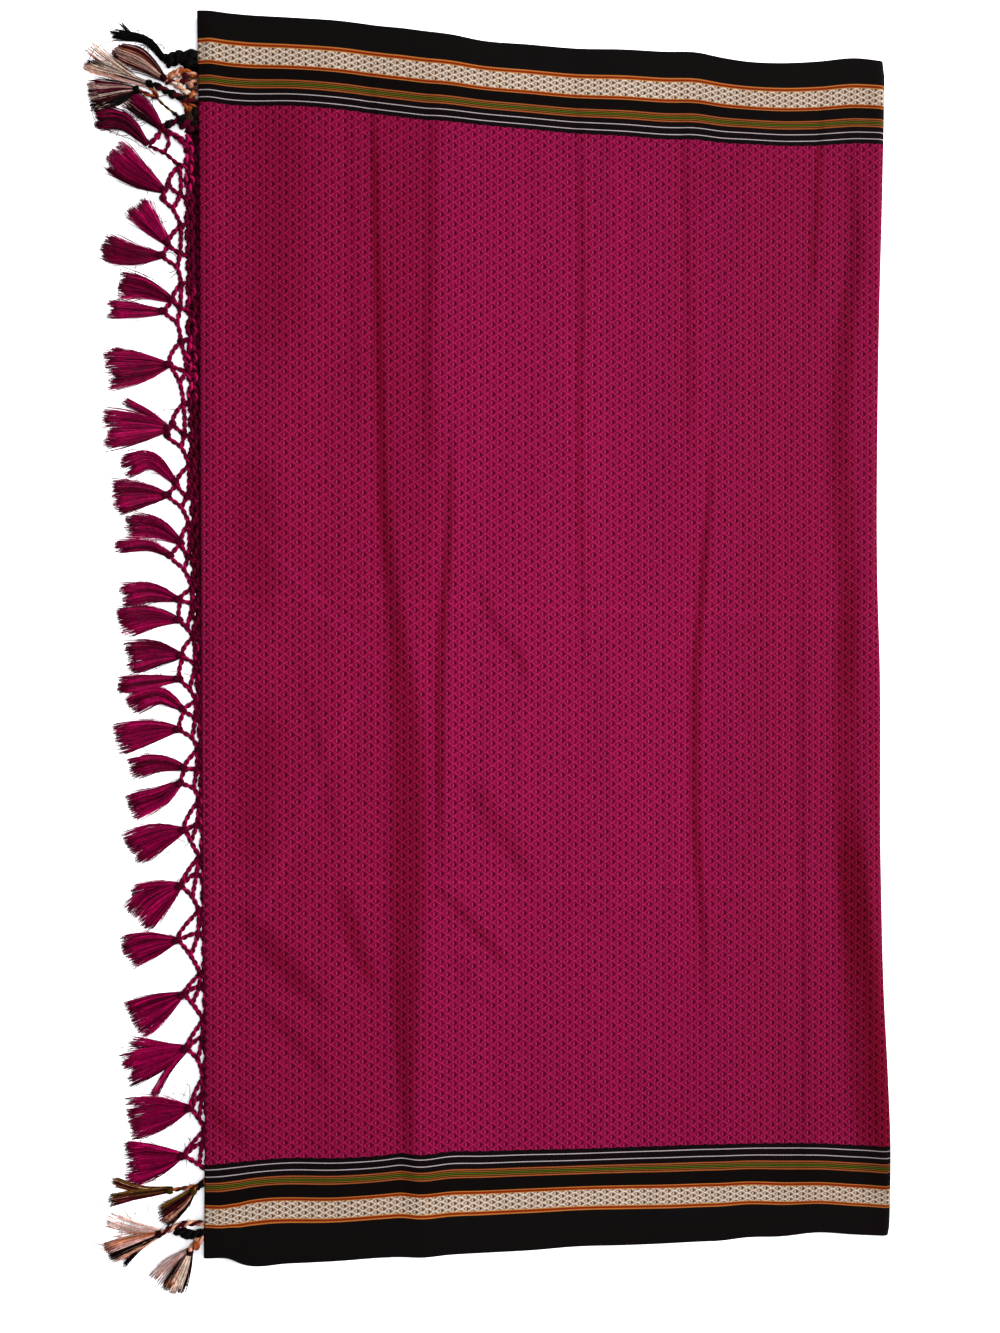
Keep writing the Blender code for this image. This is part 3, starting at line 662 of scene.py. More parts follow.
figures = []
for kind, ground in enumerate(GROUND_COLOURS):
    shown = (*linear(ground, LIGHT_LEVEL), 1.0)
    for row in FIGURE_COLOURS:
        tint = (*linear(row[kind + 2], LIGHT_LEVEL), 1.0)
        mixed = add_node(tree, "Mix", {0: made[row[kind]], 6: shown, 7: tint}, data_type="RGBA")
        shown = mixed.outputs[2]
    figures.append(shown)

stripes = add_node(tree, "ValToRGB", {0: made["ramp_at"]})
ramp = stripes.color_ramp
ramp.interpolation = "CONSTANT"
start = 0.0
for number, (width, code) in enumerate(STRIPES):
    stop = ramp.elements.new(start / RAMP_LENGTH) if number else ramp.elements[0]
    stop.color = (*linear(code, LIGHT_LEVEL), 1.0)
    start += width
ramp.elements.remove(ramp.elements[-1])

# The border's stripes with the figured band in them, then the field, then the brightness of
# the threads. Then the painted shade of the creases and folds, which takes more of the blue and
# green than of the red.
banded = add_node(tree, "Mix", {
    0: made["in_band"],
    6: stripes.outputs[0],
    7: figures[1],
}, data_type="RGBA")
cloth_colour = add_node(tree, "Mix", {
    0: made["in_border"],
    6: figures[0],
    7: banded.outputs[2],
}, data_type="RGBA")
toned = add_node(tree, "VectorMath", {
    0: cloth_colour.outputs[2],
    3: made["tone"],
}, operation="SCALE")
side_tone = add_node(tree, "Mix", {
    0: made["in_border"],
    6: (*CREASE_SHADE_TONE, 1.0),
    7: (*BORDER_SHADE_TONE, 1.0),
}, data_type="RGBA")
crease = add_node(tree, "Attribute", attribute_name="Crease")
painted_flank_shade = add_node(tree, "Mix", {
    0: crease.outputs[2],
    6: (1.0, 1.0, 1.0, 1.0),
    7: side_tone.outputs[2],
}, data_type="RGBA")
creased = add_node(tree, "VectorMath", {
    0: toned.outputs[0],
    1: painted_flank_shade.outputs[2],
}, operation="MULTIPLY")
raised = add_node(tree, "Bump", {
    "Strength": 0.55,
    "Distance": 0.0003,
    "Height": made["relief"],
})
tree.links.new(creased.outputs[0], shader.inputs["Base Color"])
tree.links.new(raised.outputs[0], shader.inputs["Normal"])
tree.links.new(made["roughness"], shader.inputs["Roughness"])
shader.inputs["Specular IOR Level"].default_value = 0.012
shader.inputs["Sheen Weight"].default_value = 0.02
shader.inputs["Sheen Roughness"].default_value = 0.5
shader.inputs["Sheen Tint"].default_value = (*linear(SHEEN_COLOUR), 1.0)

rows_v = np.linspace(0.0, CLOTH_WIDTH, round(CLOTH_WIDTH / ROW_PITCH) + 1)
guess_y = CLOTH_LOW_EDGE + (CLOTH_HIGH_EDGE - CLOTH_LOW_EDGE) * rows_v / CLOTH_WIDTH
left_line = curve_through(LEFT_FOLD, guess_y)
right_line = curve_through(RIGHT_FOLD, guess_y)
flat_start = left_line + LEFT_FOLD_DEPTH
flat_end = right_line - RIGHT_FOLD_DEPTH
start_y = weave_row(rows_v, flat_start)
end_y = weave_row(rows_v, flat_end)
start_z, _ = top_surface(flat_start, start_y, left_line, right_line)
end_z, end_shade = top_surface(flat_end, end_y, left_line, right_line)
plain = np.zeros_like(rows_v)
columns, weave, shades = [], [], []


def add_column(x, y, z, u, shade=plain):
    """One line of points across the cloth, at the length u of the weave."""
    columns.append(place(x, y, z))
    weave.append(np.stack([np.broadcast_to(u, rows_v.shape), rows_v], axis=-1))
    shades.append(np.broadcast_to(shade, rows_v.shape))


def add_fold(x, y, top, bottom, depth, u, length, steps, shade=plain):
    """The columns round a fold, from its top at the first step to its bottom at the last."""
    middle = (top + bottom) / 2.0
    half = (top - bottom) / 2.0
    for step in steps:
        angle = math.pi * step / FOLD_STEPS
        add_column(x + depth * math.sin(angle), y, middle + half * math.cos(angle),
                   u + length * step / FOLD_STEPS, shade)


def fold_length(depth, top, bottom):
    """Length of the cloth round a fold."""
    return math.pi * np.sqrt((depth ** 2 + ((top - bottom) / 2.0) ** 2) / 2.0)


def recessed(y, amount, phase):
    """Rows drawn in from both selvedges by a recess that wanders with the phase."""
    from_low = np.clip(1.0 - rows_v / RECESS_WIDTH, 0.0, 1.0)
    from_high = np.clip(1.0 - (CLOTH_WIDTH - rows_v) / RECESS_WIDTH, 0.0, 1.0)
    at_low = amount * (1.0 + RECESS_WANDER * math.sin(phase))
    at_high = amount * (1.0 + RECESS_WANDER * math.cos(1.7 * phase))
    return y + at_low * from_low - at_high * from_high


# Turned in under the left fold, where the next layer goes on
left_arc = fold_length(LEFT_FOLD_DEPTH, start_z, LEFT_FOLD_BOTTOM)
for inward in (TURNED_IN, TURNED_IN / 2.0):
    add_column(flat_start + inward, start_y, LEFT_FOLD_BOTTOM + inward * TURNED_IN_SLOPE,
               flat_start - left_arc - inward)
# Round the left fold, with the low painted shade of its edge
add_fold(flat_start, start_y, start_z, LEFT_FOLD_BOTTOM, -LEFT_FOLD_DEPTH, flat_start, -left_arc,
         range(FOLD_STEPS, 0, -1), plain + EDGE_DARK["low"])
# The top layer
top_steps = round((flat_end - flat_start).mean() / TOP_PITCH)
for step in range(top_steps + 1):
    x = flat_start + (flat_end - flat_start) * step / top_steps
    y = weave_row(rows_v, x)
    z, dark = top_surface(x, y, left_line, right_line)
    add_column(x, y, z, x, dark)
# Round the double fold and back under the others to the cut end
right_arc = fold_length(RIGHT_FOLD_DEPTH, end_z, UNDER_HEIGHT)
add_fold(flat_end, end_y, end_z, UNDER_HEIGHT, RIGHT_FOLD_DEPTH, flat_end, right_arc,
         range(1, FOLD_STEPS + 1), end_shade)
cut_end = np.maximum(heading_x(end_y) + CUT_END_GAP, left_line + CUT_END_INSIDE)
for step in range(1, UNDER_STEPS + 1):
    x = flat_end + (cut_end - flat_end) * step / UNDER_STEPS
    drawn_in = BOTTOM_RECESS * min(1.0, step / 2.0)
    y = recessed(weave_row(rows_v, x), drawn_in, 1.9 * step)
    add_column(x, y, UNDER_HEIGHT, flat_end + right_arc + (flat_end - x))
outer_cloth = cloth_object("outer_cloth", columns, weave, shades, khun_weave)
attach(outer_cloth, "root")
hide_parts("top_layer")

# The inner stretch of the same cloth: second layer, inner fold at the right, third layer.
# Only its selvedges show, drawn in a little under the top layer.
SECOND_LAYER = {"share": 0.93, "recess": 1.3, "at_fold": LEFT_FOLD_BOTTOM + 0.9}
THIRD_LAYER = {"share": 0.55, "recess": 3.0, "at_end": FLOOR_GAP + 1.3}
LAYERS_BELOW = 1.55
LAYER_EASE = 40.0
INNER_START_GAP = 1.0
INNER_FOLD_BACK = 2.6
INNER_FOLD_LENGTH = 6.0
INNER_PITCH = 34.0
columns, weave, shades = [], [], []
inner_end = flat_end - INNER_FOLD_BACK
inner_start = flat_start + TURNED_IN + INNER_START_GAP
inner_steps = round((inner_end - inner_start).mean() / INNER_PITCH)


def inner_height(x, y, share):
    """Height of a hidden layer's outer face."""
    height, _ = top_surface(x, y, left_line, right_line)
    return (height - LAYERS_BELOW) * share


for step in range(inner_steps + 1):
    x = inner_start + (inner_end - inner_start) * step / inner_steps
    y = recessed(weave_row(rows_v, x), SECOND_LAYER["recess"], 2.3 * step)
    z = inner_height(x, y, SECOND_LAYER["share"]) - SECOND_LAYER["at_fold"]
    z = SECOND_LAYER["at_fold"] + z * smooth((x - inner_start) / LAYER_EASE)
    add_column(x, y, z, 2.0 * flat_start - x)
fold_y = recessed(weave_row(rows_v, inner_end), SECOND_LAYER["recess"], 2.3 * inner_steps)
fold_top = inner_height(inner_end, fold_y, SECOND_LAYER["share"])
fold_bottom = inner_height(inner_end, fold_y, THIRD_LAYER["share"]) - THICKNESS
add_fold(inner_end, fold_y, fold_top, fold_bottom, (fold_top - fold_bottom) / 2.0,
         2.0 * flat_start - inner_end, -INNER_FOLD_LENGTH, range(1, FOLD_STEPS + 1))
for step in range(1, inner_steps + 1):
    x = inner_end + (cut_end - inner_end) * step / inner_steps
    y = recessed(weave_row(rows_v, x), THIRD_LAYER["recess"], 1.3 * step + 0.7)
    z = inner_height(x, y, THIRD_LAYER["share"]) - THICKNESS - THIRD_LAYER["at_end"]
    z = THIRD_LAYER["at_end"] + z * smooth((x - cut_end) / LAYER_EASE)
    add_column(x, y, z, 2.0 * flat_start - 2.0 * inner_end + x)
inner_cloth = cloth_object("inner_cloth", columns, weave, shades, khun_weave)
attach(inner_cloth, "root")
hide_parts("hidden_layers")

# Knotted net at the two cut ends of the cloth: the warp ends, gathered into two-ply cords
# and tied to each other in rows of diamonds. Mercerised thread, plum in its shadows and
# bright magenta where it turns up.
CORD_RADIUS = 1.02
CORD_TWIST = 9.5
CORD_SIDES = 6
CORD_LIFT = (-0.2, 0.5)
CORD_SLANT_UP = 3.0
CORD_SLANT_DOWN = 4.0
PLY_SPREAD = 0.86
PLUM_LIGHT = (1.2, 1.9)
MAGENTA_LIGHT = (1.1, 1.5)
PATH_STEP = 1.0
KNOT_TURNS = 3.4
KNOT_STEPS = 9
KNOT_RADIUS = 2.15
KNOT_PLY = 0.80
KNOT_LENGTH = 3.2
KNOT_TAPER = 1.1
KNOT_FLATNESS = 0.7
KNOT_LIGHT = (0.45, 1.25)
KNOT_SIZES = (0.85, 1.1)
KNOT_LIFT = 0.2
LAST_NET_END = -384.0

# One repeat of the knotted net, tied to the heading
# head knot, first tassel knot, second tassel knot, inner knot, outer meeting point
NET_REPEATS = (
    (-235, 357, -243, 343, -247, 333, -235, 336, -240, 325),
    (-234, 313, -243, 299, -247, 291, -235, 293, -237, 282),
    (-234, 270, -240, 258, -246, 250, -235, 253, -237, 241),
    (-234, 228, -242, 211, -242, 211, -231, 206, -235, 197),
    (-232, 182, -240, 168, -244, 159, -232, 160, -234, 150),
    (-228, 137, -237, 123, -243, 115, -230, 114, -234, 106),
    (-228, 94, -234, 80, -241, 70, -229, 70, -232, 60),
    (-226, 47, -235, 38, -235, 23, -226, 35, -230, 17),
    (-225, 11, -233, -3, -235, -20, -224, -9, -228, -28),
    (-223, -36, -232, -43, -235, -57, -224, -49, -226, -64),
    (-222, -72, -231, -86, -234, -96, -223, -87, -225, -101),
    (-221, -109, -231, -131, -231, -131, -223, -128, -227, -140),
    (-221, -151, -234, -172, -234, -172, -223, -164, -226, -181),
    (-221, -191, -236, -212, -236, -212, -222, -208, -227, -224),
    (-220, -237, -232, -252, -232, -252, -221, -247, -226, -259),
    (-218, -271, -230, -292, -230, -292, -219, -285, -222, -301),
    (-218, -314, -227, -336, -227, -336, -219, -327, -221, -345),
    (-217, -352, -232, -371, -232, -371, -219, -363, -221, -378),
)

# Heavier cords of the border's own warp, at the two ends of the net
# start, middle, end, ply radius, colours of the two plies
BORDER_CORDS = (
    (-222, 438, -235, 437, -246, 434, 1.9, "black", "black"),
    (-222, 431, -232, 434, -244, 431, 1.7, "black", "black"),
    (-223, 424, -234, 427, -244, 421, 1.2, "peach", "orange"),
    (-223, 419, -233, 419, -245, 418, 1.1, "peach", "maroon"),
    (-222, 409, -230, 411, -240, 418, 1.1, "peach", "cream"),
    (-224, 404, -240, 409, -254, 416, 1.5, "maroon", "black"),
    (-224, 411, -231, 404, -229, 396, 1.3, "orange", "maroon"),
    (-223, 400, -229, 405, -232, 412, 1.0, "orange", "black"),
    (-256, 414, -251, 407, -264, 411, 0.9, "orange", "maroon"),
    (-252, 407, -247, 402, -239, 396, 0.6, "olive", "brown"),
    (-239, 396, -235, 392, -230, 393, 1.0, "black", "black"),
    (-222, 398, -228, 392, -236, 391, 1.7, "black", "brown"),
    (-222, 388, -229, 388, -235, 386, 1.6, "black", "plum"),
    (-235, 391, -243, 387, -248, 384, 1.3, "plum", "black"),
    (-248, 384, -251, 378, -257, 372, 1.1, "plum", "magenta"),
    (-247, 383, -243, 374, -246, 367, 0.9, "plum", "magenta"),
    (-257, 371, -246, 366, -235, 357, 0.9, "plum", "magenta"),
    (-247, 383, -234, 376, -226, 363, 1.3, "plum", "magenta"),
    (-216, -392, -226, -394, -240, -396, 0.9, "orange", "brown"),
    (-215, -387, -219, -392, -224, -396, 1.2, "orange", "black"),
    (-216, -421, -232, -421, -248, -427, 1.2, "peach", "maroon"),
    (-216, -427, -229, -428, -238, -425, 1.7, "black", "black"),
    (-217, -431, -222, -434, -227, -440, 1.5, "peach", "orange"),
)
BORDER_TWIST = 11.0
BORDER_RISE = 0.4
BORDER_KNOT = {"size": 0.8, "lift": 0.3, "on_plies_over": 0.9}

# Knots heaped on the border's cords
# across, along, size, colour
HEAPED_KNOTS = (
    (-226, 438, 1.6, "black"),
    (-228, 432, 1.6, "black"),
    (-234, 436, 1.5, "black"),
    (-241, 433, 1.2, "black"),
    (-241, 423, 1.0, "peach"),
    (-231, 423, 1.0, "maroon"),
    (-226, 424, 0.9, "orange"),
    (-236, 424, 0.8, "peach"),
    (-235, 416, 0.9, "cream"),
    (-231, 411, 0.8, "maroon"),
    (-227, 417, 0.9, "peach"),
    (-229, 406, 0.9, "orange"),
    (-234, 406, 0.8, "peach"),
    (-228, 399, 1.0, "orange"),
    (-230, 391, 1.3, "black"),
    (-227, 384, 1.2, "plum"),
    (-232, -426, 1.2, "black"),
    (-226, -429, 1.2, "black"),
    (-222, -433, 1.2, "peach"),
    (-223, -438, 1.0, "orange"),
)
HEAP_PLY = 0.52
# Each of them is wound twice, crosswise, the second winding painted at half brightness as shade:
# turn, brightness
HEAP_WINDINGS = (
    (0.0, 1.0),
    (1.2, 0.5),
)

# Header chains: the warp ends of each repeat, plaited loosely along the cut edge in links. The
# first, by the fold, is painted darker as its shade
# sideways from the heading, swing of a link, length of a link, ply radius, height, brightness
HEADER_CHAINS = (
    (3.0, 0.9, 19.0, 0.85, 1.2, 0.55),
    (-2.7, 2.7, 26.0, 1.10, 2.6, 1.15),
)
HEADER_TOP = 380.0
HEADER_FOOT = -376.0
HEADER_REPEAT = 44.0
HEADER_REPEATS = (0.75, 1.2)
HEADER_STRETCH = (0.8, 1.25)
HEADER_OVERLAP = 6.0
HEADER_POINTS = 3.0
HEADER_PATH_STEP = 1.25
HEADER_TWIST = 8.0
HEADER_LIFT = 0.8
HEADER_PLUM_LIGHT = (0.5, 1.1)
HEADER_TUCK = {"by": 2.5, "from": 40.0, "over": -130.0, "calm": 0.45}
WARP_END_PITCH = 1.3
WARP_END_RADIUS = 0.72
WARP_END_SIDES = 4
WARP_END_OUTER = {"low": -1.7, "top": -5.0, "from": -130.0, "over": 300.0, "uneven": 0.8}
WARP_END_LEAN = {"by": 0.9, "over": 6.0, "down": 0.3}
WARP_END_HEIGHTS = (1.2, 0.8)
WARP_END_SHADE = 0.30
WARP_LIGHT = (0.7, 1.15)

# Where each colour of warp lies along the heading, from the top down
# height on the cloth down to which it reaches, its colours
HEADING_COLOURS = (
    (424, ("black", "brown", "black")),
    (406, ("peach", "orange", "cream")),
    (396, ("black", "orange", "maroon")),
    (384, ("black", "olive", "brown")),
    (368, ("plum", "black", "plum")),
    (-378, ("magenta", "plum", "bright")),
    (-395, ("olive", "brown", "cream")),
    (-425, ("peach", "cream", "maroon")),
    (-500, ("black", "brown", "black")),
)

THREAD_COLOURS = {
    "magenta": "86003A",
    "bright": "AC0850",
    "plum": "54001F",
    "black": "0C0908",
    "peach": "E8A284",
    "pink": "F2BAB0",
    "orange": "AC5224",
    "maroon": "4A0E16",
    "cream": "F8DCC6",
    "olive": "6E521A",
    "brown": "361C10",
}


def smooth_path(points, step=PATH_STEP):
    """Points of a smooth curve through a few given ones, evenly apart."""
    points = np.array(points, float)
    length = np.concatenate([[0.0], np.cumsum(np.linalg.norm(np.diff(points, axis=0), axis=1))])
    count = max(4, int(length[-1] / step) + 1)
    at = np.linspace(0.0, length[-1], count)
    rows = [(t, *point) for t, point in zip(length, points)]
    return np.stack([curve_through(rows, at, column) for column in (1, 2, 3)], axis=-1)


def tubes(lines, radius, sides):
    """Vertices and faces of closed tubes round lines of points, all in one.

    lines has the shape (tubes, points, 3) and radius (tubes, points), in millimetres.
    """
    forward = np.gradient(lines, axis=1)
    forward /= np.linalg.norm(forward, axis=-1, keepdims=True) + 1e-9
    side = np.cross(forward, (0.0, 0.0, 1.0))
    side += np.where(np.linalg.norm(side, axis=-1, keepdims=True) < 1e-3, (1.0, 0.0, 0.0), 0.0)
    side /= np.linalg.norm(side, axis=-1, keepdims=True)
    up = np.cross(side, forward)
    turn = 2.0 * math.pi * np.arange(sides) / sides
    ring = side[:, :, None] * np.cos(turn)[:, None] + up[:, :, None] * np.sin(turn)[:, None]
    points = lines[:, :, None] + ring * radius[:, :, None, None]
    count, steps = lines.shape[:2]
    index = np.arange(count * steps * sides).reshape(count, steps, sides)
    after = np.roll(index, -1, axis=2)
    walls = np.stack([index[:, :-1], index[:, 1:], after[:, 1:], after[:, :-1]], axis=-1)
    faces = walls.reshape(-1, 4).tolist()
    faces += index[:, 0].reshape(-1, sides).tolist()
    faces += index[:, -1, ::-1].reshape(-1, sides).tolist()
    return points.reshape(-1, 3), faces


class Threads:
    """Tubes gathered for one piece, each with its own colour."""

    def __init__(self):
        self.points, self.faces, self.colours, self.total = [], [], [], 0

    def add(self, lines, radius, sides, colours):
        """Add tubes; colours holds linear red, green and blue, one for each or along each."""
        points, faces = tubes(lines, radius, sides)
        self.faces += [[corner + self.total for corner in face] for face in faces]
        self.points.append(points)
        self.total += len(points)
        shape = (len(lines), lines.shape[1] * sides, 3)
        colours = np.asarray(colours)
        if colours.ndim == 3:
            colours = np.repeat(colours, sides, axis=1)
        else:
            colours = colours[:, None, :]
        self.colours.append(np.broadcast_to(colours, shape).reshape(-1, 3))

    def make(self, name, material):
        """One object of all the tubes, coloured by its point attribute."""
        points = np.concatenate(self.points)
        mesh = bpy.data.meshes.new(name)
        mesh.from_pydata(place(points[:, 0], points[:, 1], points[:, 2]).tolist(), [], self.faces)
        tint = mesh.color_attributes.new("Dye", "FLOAT_COLOR", "POINT")
        values = np.ones((len(points), 4), np.float32)
        values[:, :3] = np.concatenate(self.colours)
        tint.data.foreach_set("color", values.ravel())
        mesh.shade_smooth()
        mesh.materials.append(material)
        return add_to_scene(name, mesh)


def twisted_cord(threads, path, ply_radius, plies, twist=CORD_TWIST, phase=0.0):
    """Two plies wound round each other along a path."""
    forward = np.gradient(path, axis=0)
    forward /= np.linalg.norm(forward, axis=-1, keepdims=True)
    side = np.cross(forward, (0.0, 0.0, 1.0))
    side /= np.linalg.norm(side, axis=-1, keepdims=True)
    up = np.cross(side, forward)
    gone = np.concatenate([[0.0], np.cumsum(np.linalg.norm(np.diff(path, axis=0), axis=1))])
    for ply, dye in enumerate(plies):
        turn = (2.0 * math.pi * gone / twist + math.pi * ply + phase)[:, None]
        line = path + (side * np.cos(turn) + up * np.sin(turn)) * ply_radius * PLY_SPREAD
        radius = np.full(len(line), ply_radius)
        threads.add(line[None], radius[None], CORD_SIDES, [dye])


def wound_knot(threads, centre, direction, dye, size=1.0, ply=KNOT_PLY):
    """A ply wound a few times round a cord and drawn tight, thickest in its middle."""
    turns = KNOT_TURNS * KNOT_PLY / ply
    count = int(turns * KNOT_STEPS) + 1
    turn = np.linspace(0.0, 2.0 * math.pi * turns, count)
    along = np.linspace(-0.5, 0.5, count) * KNOT_LENGTH * size
    forward = np.array([direction[0], direction[1], 0.0]) / math.hypot(*direction[:2])
    side = np.array([-forward[1], forward[0], 0.0])
    swell = KNOT_RADIUS * size * (1.0 - KNOT_TAPER * (along / (KNOT_LENGTH * size)) ** 2)
    line = np.asarray(centre) + forward * along[:, None]
    line = line + side * (np.cos(turn) * swell)[:, None]
    line[:, 2] += np.sin(turn) * swell * KNOT_FLATNESS
    radius = np.full(count, ply * size)
    threads.add(line[None], radius[None], CORD_SIDES, [dye])


# Mercerised cotton thread: smooth and soft in its gloss, each strand dyed through but taking
# the dye unevenly every few millimetres. The bump is its fibres, drawn coarser than they are.
mercerised, tree, shader = new_material("mercerised_thread")
dye = add_node(tree, "Attribute", attribute_name="Dye")
spots = add_node(tree, "TexCoord")
mottle = add_node(tree, "TexNoise", {0: spots.outputs["Object"], "Scale": 420.0, "Detail": 2.0})
uneven = add_node(tree, "MapRange", {"Value": mottle.outputs[0], 1: 0.3, 2: 0.7, 3: 0.72, 4: 1.25})
shown = add_node(tree, "VectorMath", {0: dye.outputs[0], 3: uneven.outputs[0]}, operation="SCALE")
tree.links.new(shown.outputs[0], shader.inputs["Base Color"])
fibres = add_node(tree, "TexNoise", {0: spots.outputs["Object"], "Scale": 2600.0, "Detail": 1.0})
fuzz = add_node(tree, "Bump", {"Strength": 0.35, "Distance": 0.0002, "Height": fibres.outputs[0]})
tree.links.new(fuzz.outputs[0], shader.inputs["Normal"])
gloss = add_node(tree, "MapRange", {"Value": mottle.outputs[0], 1: 0.3, 2: 0.7, 3: 0.5, 4: 0.7})
tree.links.new(gloss.outputs[0], shader.inputs["Roughness"])
shader.inputs["Specular IOR Level"].default_value = 0.012
shader.inputs["Sheen Weight"].default_value = 0.006
shader.inputs["Sheen Roughness"].default_value = 0.4

draws = np.random.default_rng(11)
net = Threads()
dyes = {name: np.array(linear(code, LIGHT_LEVEL)) for name, code in THREAD_COLOURS.items()}
cord_height = FLOOR_GAP + 2.0 * CORD_RADIUS


def net_cord(*pairs):
    """One magenta cord of the net through the given points."""
    points = [(x, y, cord_height + draws.uniform(*CORD_LIFT)) for x, y in pairs]
    plum = dyes["plum"] * draws.uniform(*PLUM_LIGHT)
    magenta = dyes["magenta"] * draws.uniform(*MAGENTA_LIGHT)
    phase = draws.uniform(0.0, math.pi)
    twisted_cord(net, smooth_path(points), CORD_RADIUS, (plum, magenta), phase=phase)


heads = [(row[0], row[1]) for row in NET_REPEATS[1:]]
heads.append((heading_x(LAST_NET_END), LAST_NET_END))
for row, following in zip(NET_REPEATS, heads):
    head, first, second, inner, outer = [row[at:at + 2] for at in range(0, 10, 2)]
    start, end = head[1] + CORD_SLANT_UP, inner[1] - CORD_SLANT_DOWN
    net_cord((heading_x(start), start), head, first, inner, (heading_x(end), end))
    if first != second:
        net_cord(first, second, outer, following)
    else:
        net_cord(first, outer, following)
    net_cord(head, inner, outer)
    for knot, towards in ((head, first), (first, head), (inner, outer), (second, outer)):
        direction = (towards[0] - knot[0], towards[1] - knot[1])
        shade = dyes["plum"] * draws.uniform(*KNOT_LIGHT)
        size = draws.uniform(*KNOT_SIZES)
        wound_knot(net, (*knot, cord_height + KNOT_LIFT), direction, shade, size)
for x0, y0, x1, y1, x2, y2, ply, one, other in BORDER_CORDS:
    height = FLOOR_GAP + 2.0 * ply
    path = smooth_path([(x0, y0, height), (x1, y1, height + BORDER_RISE), (x2, y2, height)])
    twisted_cord(net, path, ply, (dyes[one], dyes[other]), twist=BORDER_TWIST)
    if ply > BORDER_KNOT["on_plies_over"]:
        centre = (x1, y1, height + BORDER_KNOT["lift"])
        size = ply / CORD_RADIUS * BORDER_KNOT["size"]
        wound_knot(net, centre, (x2 - x0, y2 - y0), dyes[other], size)
for x, y, size, colour in HEAPED_KNOTS:
    lift = FLOOR_GAP + (KNOT_RADIUS + HEAP_PLY) * size
    turned = draws.uniform(0.0, math.pi)
    for crossed, light in HEAP_WINDINGS:
        direction = (math.cos(turned + crossed), math.sin(turned + crossed))
        wound_knot(net, (x, y, lift), direction, dyes[colour] * light, size, HEAP_PLY)


def heading_dye(y):
    """A colour of the warp at this height of the heading."""
    names = next(row[1] for row in HEADING_COLOURS if y >= row[0])
    return dyes[names[draws.integers(0, len(names))]] * draws.uniform(*WARP_LIGHT)


def header_repeat(row, top, foot):
    """One repeat of a header chain: two twisted strands that swing past each other."""
    offset, swing, link, ply_radius, high, brightness = row
    count = max(5, int((top - foot) / HEADER_POINTS))
    heights = np.linspace(top, foot - HEADER_OVERLAP, count)
    start, stretch = draws.uniform(0.0, 2.0 * math.pi), draws.uniform(*HEADER_STRETCH)
    ends = np.minimum(1.0, 3.0 * np.sin(np.linspace(0.0, math.pi, count)))
    tucked = smooth((heights - HEADER_TUCK["from"]) / HEADER_TUCK["over"])
    swing = swing * stretch * (1.0 - HEADER_TUCK["calm"] * tucked)
    middle = heading_x(heights) + offset + HEADER_TUCK["by"] * tucked
    for strand in (0.0, math.pi):
        turn = 2.0 * math.pi * heights / (link * stretch) + start + strand
        x = middle + swing * np.sin(turn) * ends
        z = FLOOR_GAP + high + HEADER_LIFT * np.cos(turn) * ends
        path = smooth_path(np.stack([x, heights, z], axis=-1), step=HEADER_PATH_STEP)
        warp = heading_dye(heights[count // 2]) * brightness
        plum = dyes["plum"] * brightness * draws.uniform(*HEADER_PLUM_LIGHT)
        twisted_cord(net, path, ply_radius, (warp, plum), twist=HEADER_TWIST, phase=start)


for row in HEADER_CHAINS:
    top = HEADER_TOP
    while top > HEADER_FOOT:
        foot = max(top - HEADER_REPEAT * draws.uniform(*HEADER_REPEATS), HEADER_FOOT)
        header_repeat(row, top, foot)
        top = foot
# The cut warp ends under them, side by side as they leave the weave, their colours darkened by
# WARP_END_SHADE as painted shade where the fold and the chains shadow them
height = HEADING_TOP[1]
while height > HEADING_BOTTOM[1]:
    middle = heading_x(height)
    inner = max(middle + CUT_END_GAP, curve_through(LEFT_FOLD, height) + CUT_END_INSIDE)
    upward = smooth((height - WARP_END_OUTER["from"]) / WARP_END_OUTER["over"])
    outer = WARP_END_OUTER["low"] + (WARP_END_OUTER["top"] - WARP_END_OUTER["low"]) * upward
    uneven = WARP_END_OUTER["uneven"]
    outer += middle + draws.uniform(-uneven, uneven)
    lean = WARP_END_LEAN["by"] * math.sin(height / WARP_END_LEAN["over"]) - WARP_END_LEAN["down"]
    high, low = (FLOOR_GAP + lift for lift in WARP_END_HEIGHTS)
    line = np.array([
        (inner, height, high),
        ((inner + outer) / 2.0, height + 0.3 * lean, high),
        (outer, height + lean, low),
    ])
    shade = heading_dye(height) * WARP_END_SHADE
    net.add(line[None], np.full((1, 3), WARP_END_RADIUS), WARP_END_SIDES, [shade])
    height -= WARP_END_PITCH
fringe_net = net.make("knotted_net", mercerised)
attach(fringe_net, "root")
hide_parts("fringe_net")

# Tassels: a hank of the cord's own threads below each knot, bound once and cut. The threads
# lie in clumps, fan out and end raggedly, and a few stray from the rest.
THREADS_IN_TASSEL = 330
THREAD_RADIUS = 0.29
THREAD_POINTS = 8
THREAD_SIDES = 3
WIDEN = 1.22
LENGTHEN = 1.07
MIDDLE_SHARE = 0.48
SLOPE_STEP = 0.02
FRAY = 0.065
REACH_LIMITS = (0.45, 1.15)
CLUMP_PITCH = 2.6
CLUMP_LENGTHS = (-0.13, 0.07)
CLUMP_WANDER = 0.03
CLUMP_GATHER = 0.10
THREAD_RIPPLE = 0.35
SPREAD_POWER = 1.8
HEAD_REACH = 0.8
HEAD_WIDTH = 3.0
HEAD_TALL = 3.0
BELLY_TALL = 4.6
TIP_TALL = 1.7
TIP_THICKNESS = 0.92
STRAY_SHARE = 0.09
STRAY_LENGTHS = (-0.3, 0.14)
STRAY_SPREAD = 0.34
STRAY_POWER = 1.6
STRAY_THICKNESS = 0.6
